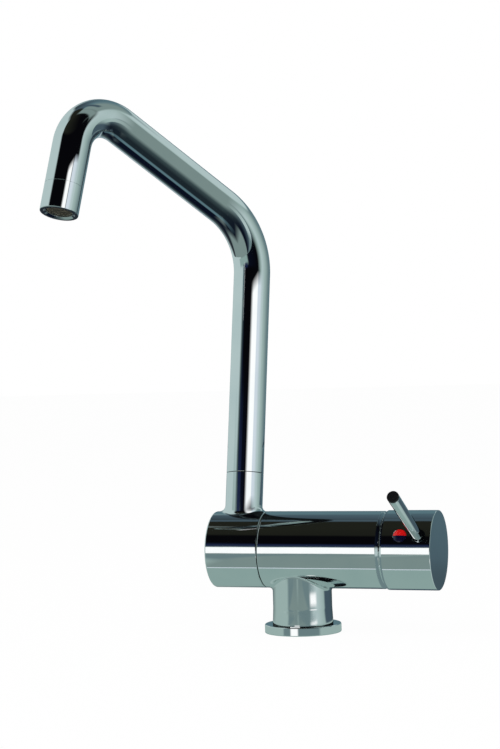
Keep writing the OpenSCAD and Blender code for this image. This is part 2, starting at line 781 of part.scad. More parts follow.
// Spindle: ball end, barrel on the pivot pin and the square that the handle grips
module cartridge_spindle() {
    color("goldenrod") difference() {
        union() {
            translate([ball_x, 0, axis_h]) sphere(d = ball_d);
            bar_x(ball_x, pivot_x - spindle_foot + over, ball_neck_r);
            bar_x(pivot_x - spindle_foot, pivot_x + spindle_reach, spindle_d / 2);
            at_lever(pivot_x + spindle_reach - over) translate([0, -spindle_sq / 2, -spindle_sq / 2])
                cube([square_x1 - pivot_x - spindle_reach + over, spindle_sq, spindle_sq]);
        }
        at_lever(pivot_x) rotate([90, 0, 0]) translate([0, 0, -spindle_d])
            cylinder(h = 2 * spindle_d, r = pivot_pin_d / 2 + fit);
    }
}

// Handle cap with its boss, the web behind the lever and the holes in them
module handle_cap() {
    color("silver") difference() {
        union() {
            difference() {
                turned_x(bar_outline(cap_x0, cap_x1, cap_r, seam_edge, seam_edge));
                bar_x(cap_x0 - over, boss_x1, cap_bore_r);
            }
            bar_x(boss_x0, boss_x1 + over, boss_d / 2);
            at_lever(0) translate([boss_x0, -web_n, 0]) cube([boss_x1 + over - boss_x0, 2 * web_n, web_top]);
        }
        at_lever(0) translate([boss_x0 - over, -spindle_sq / 2, -spindle_sq / 2])
            cube([square_x1 + over - boss_x0, spindle_sq, spindle_sq]);
        at_lever(lever_x) {
            translate([0, 0, lever_thread_foot]) cylinder(h = cap_r, d = lever_thread_d);
            translate([0, 0, lever_seat])
                cylinder(h = 2 * countersink_h, r1 = lever_root_d / 2 + 0.1, r2 = countersink_r + countersink_w);
        }
        at_lever(index_x) {
            cylinder(h = cap_r, d = set_screw_d);
            translate([0, 0, index_floor]) cylinder(h = cap_r, d = index_d);
        }
    }
}

// Screw under the index plug that clamps the spindle
module handle_set_screw() {
    color("lightsteelblue") at_lever(index_x) translate([0, 0, spindle_sq / 2]) difference() {
        cylinder(h = handle_screw_l, d = set_screw_d);
        translate([0, 0, handle_screw_l - 2.5]) cylinder(h = 3, r = 1.4, $fn = 6);
    }
}

// Lever with its threaded end in the cap
module lever_pin() {
    color("silver") at_lever(lever_x) {
        translate([0, 0, lever_thread_foot]) cylinder(h = lever_seat - lever_thread_foot, d = lever_thread_d);
        translate([0, 0, lever_seat])
            cylinder(h = lever_tip - tip_plug_l - lever_seat, d1 = lever_root_d, d2 = lever_tip_d);
    }
}

// Black plug on the lever's tip
module lever_tip_plug() {
    color("black") at_lever(lever_x) translate([0, 0, lever_tip - tip_plug_l]) {
        cylinder(h = tip_plug_l - 0.4, d = lever_tip_d);
        translate([0, 0, tip_plug_l - 0.4]) cylinder(h = 0.4, d1 = lever_tip_d, d2 = lever_tip_d - 0.7);
    }
}

// Half of the index plug, on the side given by 1 or -1 of the tilting axis
module index_half(side) {
    at_lever(index_x) intersection() {
        union() {
            translate([0, 0, index_floor]) cylinder(h = cap_r - index_floor - index_proud / 2, d = index_d);
            intersection() {
                translate([0, 0, index_floor]) cylinder(h = cap_r, d = index_d);
                translate([0, 0, cap_r + index_proud - index_dome_r]) sphere(r = index_dome_r);
            }
        }
        translate([-index_d, side > 0 ? 0 : -index_d, index_floor - over]) cube([2 * index_d, index_d, cap_r]);
    }
}

// Red half of the index plug, above
module index_plug_hot() {
    color("red") index_half(1);
}

// Blue half of the index plug, below
module index_plug_cold() {
    color("navy") index_half(-1);
}

main_body();
base_flange();
base_seal();
cartridge_base();
cartridge_seals();
fixed_ceramic_disc();
cartridge_housing();
cartridge_nut();
dome_ring();
pivot_spigot();
pivot_orings();
thrust_washer();
stop_pin();
retaining_washer();
retaining_screw();
swivel_head();
head_end_cover();
neck_glide_ring();
spout_set_screw();
spout_tube();
spout_spigot();
spout_orings();
aerator_sleeve();
aerator_insert();
aerator_screen();
aerator_washer();
cartridge_rotor();
spindle_pivot_pin();
moving_ceramic_disc();
disc_carrier();
cartridge_spindle();
handle_cap();
handle_set_screw();
lever_pin();
lever_tip_plug();
index_plug_hot();
index_plug_cold();
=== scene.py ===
import json
import math

import bpy
from bpy.props import FloatProperty, FloatVectorProperty, PointerProperty
from mathutils import Matrix, Vector
from mathutils.geometry import tessellate_polygon


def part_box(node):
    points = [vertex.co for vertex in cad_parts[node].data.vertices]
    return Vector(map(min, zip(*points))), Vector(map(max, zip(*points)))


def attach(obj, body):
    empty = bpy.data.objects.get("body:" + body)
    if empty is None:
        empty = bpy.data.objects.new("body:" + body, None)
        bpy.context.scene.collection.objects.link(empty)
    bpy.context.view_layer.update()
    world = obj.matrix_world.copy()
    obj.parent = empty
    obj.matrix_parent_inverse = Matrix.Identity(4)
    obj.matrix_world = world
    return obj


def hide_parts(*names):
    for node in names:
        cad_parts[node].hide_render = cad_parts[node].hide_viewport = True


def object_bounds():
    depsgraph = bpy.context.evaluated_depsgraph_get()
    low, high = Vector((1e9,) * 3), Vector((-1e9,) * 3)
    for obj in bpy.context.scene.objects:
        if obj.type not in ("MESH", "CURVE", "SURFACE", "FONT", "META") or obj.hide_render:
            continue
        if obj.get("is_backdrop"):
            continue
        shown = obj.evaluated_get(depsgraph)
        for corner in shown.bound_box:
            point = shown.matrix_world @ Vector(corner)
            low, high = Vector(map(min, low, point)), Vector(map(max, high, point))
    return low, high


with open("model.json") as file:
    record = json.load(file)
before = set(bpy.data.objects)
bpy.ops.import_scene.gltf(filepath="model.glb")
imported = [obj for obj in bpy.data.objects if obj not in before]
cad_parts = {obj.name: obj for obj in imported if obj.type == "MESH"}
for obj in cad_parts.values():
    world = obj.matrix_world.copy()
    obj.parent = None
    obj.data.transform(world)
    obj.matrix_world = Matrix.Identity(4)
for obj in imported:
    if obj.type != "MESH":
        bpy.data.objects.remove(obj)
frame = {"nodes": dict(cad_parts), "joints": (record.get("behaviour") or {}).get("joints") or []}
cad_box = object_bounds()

bl_info = {
    "name": "Fold-down mixer tap",
    "version": (1, 0, 0),
    "blender": (4, 5, 0),
    "location": "3D View > Sidebar > Tap",
    "description": "Chromed shells, outlet, lever, finishes and studio of a fold-down mixer tap",
    "category": "Object",
}

WELD = 1e-7  # metres within which two corners are one vertex
WELD_SHIFT = 0.137  # keeps round sizes away from the edge of a weld cell
ROUND = 2 * math.pi
QUARTER = math.pi / 2
FINE = 144  # sides of a small turned piece
SMOOTH = 6  # steps of a rounded edge
TEE_ROWS = 60  # rows of faces round each half of a barrel with a branch
TEE_COLUMNS = 72  # columns of faces along such a barrel
BALL_STEPS = 24  # steps of an outline along a ball
BEND_STEPS = 36  # steps of each bend of the spout
DRILL_POINT = 0.6  # height of a drilled hole's pointed floor, in radii
SETTLE = 20  # tries after which the countersink's rim lies on the cap's side
DEGREE = math.pi / 180
PHOTO_HEIGHT = 749  # the picture's long side, in pixels
JOINTS = {joint["name"]: joint for joint in frame["joints"]}


def extent(node, side):
    """Lowest and highest place of a node along one side of the frame."""
    low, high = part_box(node)
    return low[side], high[side]


def place(origin, x, y, z):
    """Matrix whose local axes are x, y and z of the frame, all of length one."""
    columns = Matrix((x, y, z)).transposed().to_4x4()
    return Matrix.Translation(origin) @ columns


AXIS_H = JOINTS["head_fold"]["pos_m"][2]
BODY_X0, BODY_X1 = extent("main_body", 0)
BODY_R = extent("main_body", 2)[1] - AXIS_H
HEAD_X0, HEAD_X1 = extent("swivel_head", 0)
NECK_X = JOINTS["head_fold"]["pos_m"][0]
CAP_X0, CAP_X1 = extent("handle_cap", 0)
CAP_R = extent("handle_cap", 1)[1]
COVER_X0, COVER_X1 = extent("head_end_cover", 0)
COVER_R = extent("head_end_cover", 1)[1]
FLANGE_R = extent("base_flange", 0)[1]
FLANGE_T = extent("base_flange", 2)[1]
SEAL_R = extent("base_seal", 0)[1]
SEAL_T = extent("base_seal", 2)[1]
PIVOT_X = JOINTS["handle_turn"]["pos_m"][0]
NECK_AXIS = Vector(JOINTS["spout_swing"]["axis"]).normalized()
TILT_AXIS = Vector(JOINTS["handle_tilt"]["axis"]).normalized()
BAR_AXIS = Vector((1, 0, 0))
DOWN = Vector((0, 0, -1))
ON_AXIS = Vector((0, 0, AXIS_H))

# Turned pieces on the barrel's axis have local Z along it, and a barrel with a branch has
# local X along the branch and local Z along the barrel.
ALONG_BAR = place(ON_AXIS, (0, 1, 0), (0, 0, 1), BAR_AXIS)
UPRIGHT = Matrix.Identity(4)
LEVER_AXIS = BAR_AXIS.cross(TILT_AXIS)
NECK_SIDE = NECK_AXIS.cross(BAR_AXIS)
STEM_TEE = place(ON_AXIS, DOWN, DOWN.cross(BAR_AXIS), BAR_AXIS)
NECK_TEE = place(ON_AXIS + BAR_AXIS * NECK_X, NECK_AXIS, NECK_SIDE, BAR_AXIS)
NECK_UP = place(ON_AXIS + BAR_AXIS * NECK_X, BAR_AXIS, NECK_SIDE, NECK_AXIS)
BRANCH = Matrix(((0, 0, 1, 0), (0, 1, 0, 0), (1, 0, 0, 0), (0, 0, 0, 1)))


def size(name, description, default):
    """A length that the sidebar shows."""
    return FloatProperty(name=name, description=description, default=default, unit="LENGTH", precision=5)


def angle(name, description, degrees):
    """An angle that the sidebar shows."""
    return FloatProperty(name=name, description=description, default=math.radians(degrees), subtype="ANGLE")


def share(name, description, default):
    """A number from nought to one that the sidebar shows."""
    return FloatProperty(name=name, description=description, default=default, min=0, max=1, subtype="FACTOR")


def colour(name, description, default):
    """A colour that the sidebar shows, as linear red, green and blue."""
    return FloatVectorProperty(
        name=name, description=description, default=default, size=3, subtype="COLOR"
    )


class TapBodySizes(bpy.types.PropertyGroup):
    """Sizes of the barrel, the stem and the flange"""

    stem_radius: size("Stem radius", "Radius of the upright stem", 0.0185)
    stem_flare: size("Stem flare", "How much wider the stem is at its foot", 0.0005)
    flare_height: size("Flare height", "Height of the wider part of the stem", 0.010)
    stem_fillet: size("Stem fillet", "Rounding where the stem meets the barrel", 0.0024)
    seam_edge: size("Seam edge", "Rounding of the barrel's ends", 0.0005)
    register_radius: size("Register radius", "Radius of the register inside the flange", 0.0155)
    socket_radius: size("Socket radius", "Radius of the socket that holds the pivot", 0.009)
    socket_depth: size("Socket depth", "Depth of the socket that holds the pivot", 0.012)
    recess_radius: size("Recess radius", "Radius of the recess for the thrust washer", 0.015)
    recess_depth: size("Recess depth", "Depth of the recess for the thrust washer", 0.001)
    mouth_radius: size("Mouth radius", "Radius of the mouth that holds the dome ring", 0.0215)
    mouth_depth: size("Mouth depth", "Depth of the mouth that holds the dome ring", 0.004)
    chamber_radius: size("Chamber radius", "Radius of the chamber round the cartridge", 0.0176)
    chamber_depth: size("Chamber depth", "Depth of the chamber from the barrel's end", 0.0385)
    stud_radius: size("Stud hole radius", "Radius of the fixing stud's hole", 0.0034)
    stud_depth: size("Stud hole depth", "Depth of the fixing stud's hole", 0.016)
    stud_offset: size("Stud hole offset", "Distance of the stud's hole from the stem's axis", 0.008)
    inlet_radius: size("Inlet radius", "Radius of the hose inlets", 0.0045)
    inlet_depth: size("Inlet depth", "Depth of the hose inlets", 0.012)
    inlet_offset: size("Inlet offset", "Distance of the inlets from the stem's axis", 0.0055)
    inlet_pitch: size("Inlet pitch", "Distance between the two inlets", 0.013)
    groove_radius: size("Groove radius", "Inner radius of the seal's groove", 0.0171)
    flange_edge: size("Flange edge", "Rounding of the flange's edges", 0.0007)


class TapHeadSizes(bpy.types.PropertyGroup):
    """Sizes of the folding head and its neck"""

    outer_edge: size("Outer edge", "Rounding of the head's outer end", 0.0009)
    seam_edge: size("Seam edge", "Rounding of the head's inner end", 0.0005)
    neck_radius: size("Neck radius", "Radius of the neck and of the spout", 0.0118)
    neck_fillet: size("Neck fillet", "Rounding where the neck meets the head", 0.0040)
    neck_height: size("Neck height", "Distance from the barrel's axis to the neck's top", 0.04815)
    neck_edge: size("Neck edge", "Rounding of the neck's top", 0.0002)
    neck_bore: size("Neck bore", "Radius of the bore that holds the spout's spigot", 0.00906)
    ring_radius: size("Ring radius", "Radius of the seat of the glide ring", 0.01026)
    ring_depth: size("Ring depth", "Depth of the seat of the glide ring", 0.0018)
    bore_depth: size("Bore depth", "Depth of the spigot's bore", 0.0208)
    journal_bore: size("Journal bore", "Radius of the bore that turns on the pivot", 0.01106)
    cavity_radius: size("Cavity radius", "Radius of the cavity behind the end cover", 0.0145)
    cavity_depth: size("Cavity depth", "Depth of the cavity behind the end cover", 0.0059)
    screw_height: size("Screw height", "Distance of the set screw from the barrel's axis", 0.03815)
    screw_radius: size("Screw radius", "Radius of the set screw's hole", 0.0025)
    screw_field: size("Screw field", "Half width of the patch round the set screw's hole", 0.004)
    screw_depth: size("Screw depth", "Depth of the set screw's hole", 0.0024)


class TapSpoutSizes(bpy.types.PropertyGroup):
    """Sizes of the spout and its outlet"""

    start: size("Start", "Distance from the barrel's axis to the tube's foot", 0.04845)
    rise: size("Rise", "Distance from the barrel's axis to the first corner", 0.208)
    slope: size("Slope", "Length from corner to corner", 0.1515)
    drop: size("Drop", "Length from the upper corner to the rim", 0.0775)
    swing: angle("Swing", "Angle by which the spout is swung to the front", 59)
    slope_angle: angle("Slope angle", "Angle of the sloping part above the square", 22.5)
    outlet_angle: angle("Outlet angle", "Angle by which the outlet points outwards", 8.5)
    low_bend: size("Low bend", "Centre-line radius of the lower bend", 0.044)
    top_bend: size("Top bend", "Centre-line radius of the upper bend", 0.025)
    wall: size("Wall", "Wall of the tube", 0.0012)
    foot_edge: size("Foot edge", "Rounding of the tube's foot", 0.0002)
    seam_edge: size("Seam edge", "Rounding of the seam above the sleeve", 0.00012)
    sleeve_length: size("Sleeve length", "Length of the outlet's sleeve", 0.0175)
    thread_length: size("Thread length", "Length of the sleeve's thread in the tube", 0.006)
    rim_edge: size("Rim edge", "Rounding of the sleeve's rim", 0.0005)
    bore_radius: size("Bore radius", "Radius of the sleeve's bore", 0.0092)
    lip_width: size("Lip width", "Width of the lip that holds the aerator", 0.001)
    lip_height: size("Lip height", "Height of the lip that holds the aerator", 0.002)
    gauze_radius: size("Gauze radius", "Radius of the gauze", 0.0080)
    gauze_pitch: size("Gauze pitch", "Distance between the wires of the gauze", 0.00105)
    wire_radius: size("Wire radius", "Radius of the wires of the gauze", 0.00014)
    insert_length: size("Insert length", "Length of the aerator's insert", 0.012)


class TapHandleSizes(bpy.types.PropertyGroup):
    """Sizes of the dome ring, the cap, the lever and the index plug"""

    dome_wall: size("Dome wall", "Wall of the dome ring", 0.0015)
    dome_hole: angle("Dome hole", "Half angle of the hole in the dome ring", 36.5)
    spigot_inner: size("Spigot inner radius", "Inner radius of the dome ring's spigot", 0.0197)
    spigot_outer: size("Spigot outer radius", "Outer radius of the dome ring's spigot", 0.0215)
    spigot_length: size("Spigot length", "Length of the dome ring's spigot", 0.004)
    cap_edge: size("Cap edge", "Rounding of the cap's edges", 0.0005)
    cap_bore: size("Cap bore", "Radius of the cap's mouth", 0.02292)
    cap_step: size("Cap step", "Depth of the cap's mouth", 0.0045)
    cap_inner: size("Cap inner radius", "Radius of the cap's inside past its mouth", 0.0205)
    cap_end: size("Cap end", "Thickness of the cap's end", 0.003)
    boss_radius: size("Boss radius", "Radius of the boss inside the cap", 0.007)
    boss_step: size("Boss step", "Distance of the boss's face from the cap's rim", 0.009)
    socket_half: size("Socket half width", "Half width of the spindle's square socket", 0.004)
    socket_depth: size("Socket depth", "Depth of the spindle's square socket", 0.0099)
    lever_at: size("Lever place", "Distance of the lever from the cap's rim", 0.0238)
    lever_seat: size("Lever seat", "Distance from the axis to the lever's seat", 0.0228)
    lever_foot: size("Lever foot", "Distance from the axis to the foot of the lever's thread", 0.0108)
    lever_tip: size("Lever tip", "Distance from the axis to the lever's tip", 0.087)
    thread_radius: size("Thread radius", "Radius of the lever's thread", 0.0025)
    root_radius: size("Root radius", "Radius of the lever where it leaves the cap", 0.0033)
    tip_radius: size("Tip radius", "Radius of the lever at its tip", 0.0036)
    tip_length: size("Tip length", "Length of the black plug in the lever's tip", 0.0016)
    sink_radius: size("Sink radius", "Radius of the countersink's floor", 0.0034)
    sink_slope: share("Sink slope", "Widening of the countersink over its depth", 0.706)
    index_at: size("Index place", "Distance of the index plug from the cap's rim", 0.0124)
    index_radius: size("Index radius", "Radius of the index plug", 0.0040)
    index_depth: size("Index depth", "Depth of the index plug's seat", 0.0025)
    index_dome: size("Index dome", "Radius of the index plug's domed face", 0.012)
    index_proud: size("Index proud", "How far the index plug stands proud", 0.0005)
    field: size("Field", "Half width of the patches round the cap's holes", 0.0057)


class TapFinishes(bpy.types.PropertyGroup):
    """Colours of the tap's finishes"""

    chrome: colour("Chrome", "Tint of the chrome plating", (0.92, 0.945, 0.945))
    chrome_dull: colour("Chrome haze", "Tint of the chrome where it is a little hazy", (0.87, 0.91, 0.915))
    chrome_wave: size("Chrome waves", "Height of the waves that polishing left", 0.00006)
    brass: colour("Brass", "Turned brass", (0.62, 0.44, 0.18))
    steel: colour("Steel", "Stainless steel", (0.50, 0.50, 0.49))
    gauze: colour("Gauze", "Limed stainless gauze", (0.13, 0.12, 0.09))
    rubber: colour("Rubber", "Black rubber", (0.012, 0.012, 0.013))
    black: colour("Black plastic", "Black plastic of the lever's plug", (0.004, 0.004, 0.005))
    grey: colour("Grey plastic", "Dark plastic inside the outlet", (0.040, 0.038, 0.032))
    white: colour("White plastic", "White plastic of rings and cartridge", (0.72, 0.72, 0.69))
    ceramic: colour("Ceramic", "Ceramic of the discs", (0.83, 0.80, 0.72))
    hot: colour("Hot", "Red half of the index plug", (0.60, 0.001, 0.001))
    cold: colour("Cold", "Blue half of the index plug", (0.003, 0.003, 0.022))


class TapStudio(bpy.types.PropertyGroup):
    """Camera, the strength of the white surroundings on matt surfaces, and the pale floor"""

    camera_x: size("Camera X", "Camera's place to the right", 0.347273)
    camera_y: size("Camera Y", "Camera's place to the back", -1.079907)
    camera_z: size("Camera Z", "Camera's height", 0.156320)
    yaw: angle("Yaw", "Turn of the camera to the left", 19.297)
    pitch: angle("Pitch", "Tilt of the camera upwards", 0.286)
    roll: angle("Roll", "Roll of the camera", -1.541)
    focal: FloatProperty(name="Focal length", description="In pixels of the picture", default=1808.66)
    ambient: share("Ambient", "Strength of the white surroundings on matt surfaces", 0.62)
    floor: colour("Floor", "Pale floor", (0.93, 0.93, 0.93))


class Shell:
    """Gathers faces whose corners carry the true normal of the surface, and makes a mesh."""

    def __init__(self, matrix=UPRIGHT):
        self.matrix = matrix
        self.index = {}
        self.points = []
        self.faces = []
        self.normals = []

    def vertex(self, point):
        """Number of the vertex at a point of the frame."""
        key = tuple(round(value / WELD + WELD_SHIFT) for value in point)
        if key not in self.index:
            self.index[key] = len(self.points)
            self.points.append(point)
        return self.index[key]

    def face(self, corners):
        """Adds a face from local (point, normal) corners, turned to the side of its normals."""
        kept = []
        for point, normal in corners:
            vertex = self.vertex(self.matrix @ Vector(point))
            if all(vertex != other for other, _ in kept):
                kept.append((vertex, (self.matrix.to_3x3() @ Vector(normal)).normalized()))
        if len(kept) < 3:
            return
        a, b, c = (self.points[kept[i][0]] for i in (0, 1, -1))
        facing = (b - a).cross(c - a)
        if facing.dot(sum((normal for _, normal in kept), Vector())) < 0:
            kept.reverse()
        self.faces.append([vertex for vertex, _ in kept])
        self.normals.extend(normal for _, normal in kept)

    def strip(self, rows, closed=False, skip=()):
        """Adds the faces between neighbouring rows of corners, leaving out the columns in skip."""
        for low, high in zip(rows, rows[1:]):
            count = len(low)
            for i in range(count if closed else count - 1):
                if i not in skip:
                    j = (i + 1) % count
                    self.face([low[i], low[j], high[j], high[i]])

    def turn(self, outline, turns, closed=True):
        """Adds a turned surface round local Z through an outline of (r, z, normal r, normal z)."""
        self.strip([ring(entry, turns) for entry in outline], closed)

    def fan(self, loop, middle, normal):
        """Adds a flat face from the corners of a loop to its middle."""
        self.strip([[(point, normal) for point, _ in loop], [(middle, normal)] * len(loop)], closed=True)

    def build(self, name, finish, body, slot, *nodes):
        """Makes the mesh object, puts it on its body and lets it stand for its nodes."""
        mesh = bpy.data.meshes.new(name)
        mesh.from_pydata(self.points, [], self.faces)
        mesh.shade_smooth()
        mesh.normals_split_custom_set(self.normals)
        mesh.materials.append(finish)
        piece = bpy.data.objects.new(name, mesh)
        bpy.context.scene.collection.objects.link(piece)
        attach(piece, body)
        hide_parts(*nodes)
        return piece


def ring(entry, turns):
    """Corners of one circle of a turned surface."""
    radius, height, out, up = entry
    made = []
    for turn in turns:
        x, y = math.cos(turn), math.sin(turn)
        made.append(((radius * x, radius * y, height), (out * x, out * y, up)))
    return made


def turns_of(sides):
    """Evenly spread angles of a full turn."""
    return [ROUND * i / sides for i in range(sides)]


def outline(*corners):
    """Half outline through corners given as (radius, place, rounding), with the metal on its left.

    The result has (radius, place, normal's radius, normal's place) entries, two of them at a
    sharp corner and a stepped arc at a rounded one."""
    made = []
    last = len(corners) - 1
    for i, (radius, height, rounding) in enumerate(corners):
        here = Vector((radius, height))
        coming = (here - Vector(corners[max(i - 1, 0)][:2])).normalized()
        going = (Vector(corners[min(i + 1, last)][:2]) - here).normalized()
        coming = coming if i > 0 else going
        going = going if i < last else coming
        bend = math.atan2(coming.x * going.y - coming.y * going.x, coming.dot(going))
        side = 1 if bend > 0 else -1
        out = Vector((coming.y, -coming.x))
        centre = here - coming * rounding * math.tan(abs(bend) / 2) - out * side * rounding
        steps = SMOOTH if rounding > 0 else 1
        for step in range(steps + 1 if bend else 1):
            normal = out.copy()
            normal.rotate(Matrix.Rotation(bend * step / steps, 2))
            point = centre + normal * side * rounding
            made.append((point.x, point.y, normal.x, normal.y))
    return made


def ball_outline(centre, radius, start, end, side=1):
    """Outline along a ball round a point of the axis, from one angle off the axis to another."""
    made = []
    for step in range(BALL_STEPS + 1):
        turn = start + (end - start) * step / BALL_STEPS
        x, y = math.sin(turn), math.cos(turn)
        made.append((radius * x, centre + radius * y, side * x, side * y))
    return made


def between(first, second, part):
    """Point part of the way from one pair of numbers to another."""
    return tuple(a + (b - a) * part for a, b in zip(first, second))


def border_of(xs, ys):
    """Points round the rectangle of two rising lists."""
    low = [(x, ys[0]) for x in xs[:-1]]
    right = [(xs[-1], y) for y in ys[:-1]]
    high = [(x, ys[-1]) for x in reversed(xs[1:])]
    left = [(xs[0], y) for y in reversed(ys[1:])]
    return low + right + high + left


def spread(shell, surface, hole, border, rings):
    """Covers a surface between a hole's loop and the border round it."""
    rows = []
    for step in range(rings + 1):
        part = step / rings
        rows.append([surface(*between(a, b, part)) for a, b in zip(hole, border)])
    shell.strip(rows, closed=True)


def saddle_loops(turn, radius, branch_radius, fillet):
    """Barrel angle, height and barrel place of a fillet ball that rolls round a branch."""
    reach = branch_radius + fillet
    side = reach * math.sin(turn)
    height = math.sqrt((radius + fillet) ** 2 - side**2)
    return math.atan2(side, height), height, reach * math.cos(turn)


def tee(shell, radius, x0, x1, branch_radius, fillet):
    """Barrel with a round branch and the fillet between them, in the tee's own directions.

    Returns the angles round the branch, and the row of corners where the branch begins."""
    across = [x0 + (x1 - x0) * i / TEE_COLUMNS for i in range(TEE_COLUMNS + 1)]
    under = [-QUARTER + math.pi * i / TEE_ROWS for i in range(TEE_ROWS + 1)]
    over = [QUARTER + math.pi * i / TEE_ROWS for i in range(TEE_ROWS + 1)]
    border = border_of(across, under)

    def barrel(x, turn):
        y, z = math.cos(turn), math.sin(turn)
        return (radius * y, radius * z, x), (y, z, 0)

    shell.strip([[barrel(x, turn) for x in across] for turn in over])
    reach = branch_radius + fillet
    widest = math.asin(reach / (radius + fillet))
    turns = [math.atan2(turn / widest, x / reach) for x, turn in border]
    loops = [saddle_loops(turn, radius, branch_radius, fillet) for turn in turns]
    hole = [(x, turn) for turn, _, x in loops]
    spread(shell, barrel, hole, border, rings=16)
    fillet_rows = []
    for step in range(SMOOTH * 2 + 1):
        part = step / (SMOOTH * 2)
        row = []
        for turn, (barrel_turn, height, x) in zip(turns, loops):
            low = Vector((math.cos(barrel_turn), math.sin(barrel_turn), 0))
            high = Vector((0, math.sin(turn), math.cos(turn)))
            normal = low.slerp(high, part)
            centre = Vector((height, reach * math.sin(turn), x))
            row.append((centre - normal * fillet, normal))
        fillet_rows.append(row)
    shell.strip(fillet_rows, closed=True)
    return turns, fillet_rows[-1]


def tee_turns():
    """Angles of the barrel's sides, which the ends of a tee share."""
    return [-QUARTER + math.pi * i / TEE_ROWS for i in range(2 * TEE_ROWS)]


def branch_row(row):
    """The corners of a row in the branch's own directions."""
    return [(BRANCH @ Vector(point), BRANCH.to_3x3() @ Vector(normal)) for point, normal in row]


def pocket(shell, x, y, mouth, radius, depth, loop):
    """A drilled hole with a pointed floor, from the loop at its mouth. Up is local Z."""
    floor = mouth - depth
    slant = (-0.5, 0.87)
    levels = (
        (radius, mouth, -1, 0),
        (radius, floor, -1, 0),
        (radius, floor, *slant),
        (0, floor - radius * DRILL_POINT, *slant),
    )
    rows = []
    for r, z, out, up in levels:
        row = []
        for turn in loop:
            c, s = math.cos(turn), math.sin(turn)
            row.append(((x + r * c, y + r * s, z), (out * c, out * s, up)))
        rows.append(row)
    shell.strip(rows, closed=True)


class Maths:
    """A number in a material. An expression on it adds the Math nodes that work it out."""

    def __init__(self, finish, socket):
        self.finish = finish
        self.socket = socket

    def step(self, operation, *values):
        """One Math node on these values."""
        return self.finish.number("ShaderNodeMath", {"operation": operation}, dict(enumerate(values)))

    def __add__(self, other):
        return self.step("ADD", self, other)

    def __radd__(self, other):
        return self.step("ADD", other, self)

    def __sub__(self, other):
        return self.step("SUBTRACT", self, other)

    def __rsub__(self, other):
        return self.step("SUBTRACT", other, self)

    def __mul__(self, other):
        return self.step("MULTIPLY", self, other)

    def __rmul__(self, other):
        return self.step("MULTIPLY", other, self)

    def largest(self, other):
        """The larger of two numbers."""
        return self.step("MAXIMUM", self, other)

    def unsigned(self):
        """The number without its sign."""
        return self.step("ABSOLUTE", self)

    def slope_angle(self):
        """Angle in degrees whose sine is the number."""
        return self.step("ARCSINE", self) * (1 / DEGREE)

    def angle_from(self, other):
        """Angle in degrees from the direction of another part of a vector to that of this one."""
        return self.step("ARCTAN2", self, other) * (1 / DEGREE)


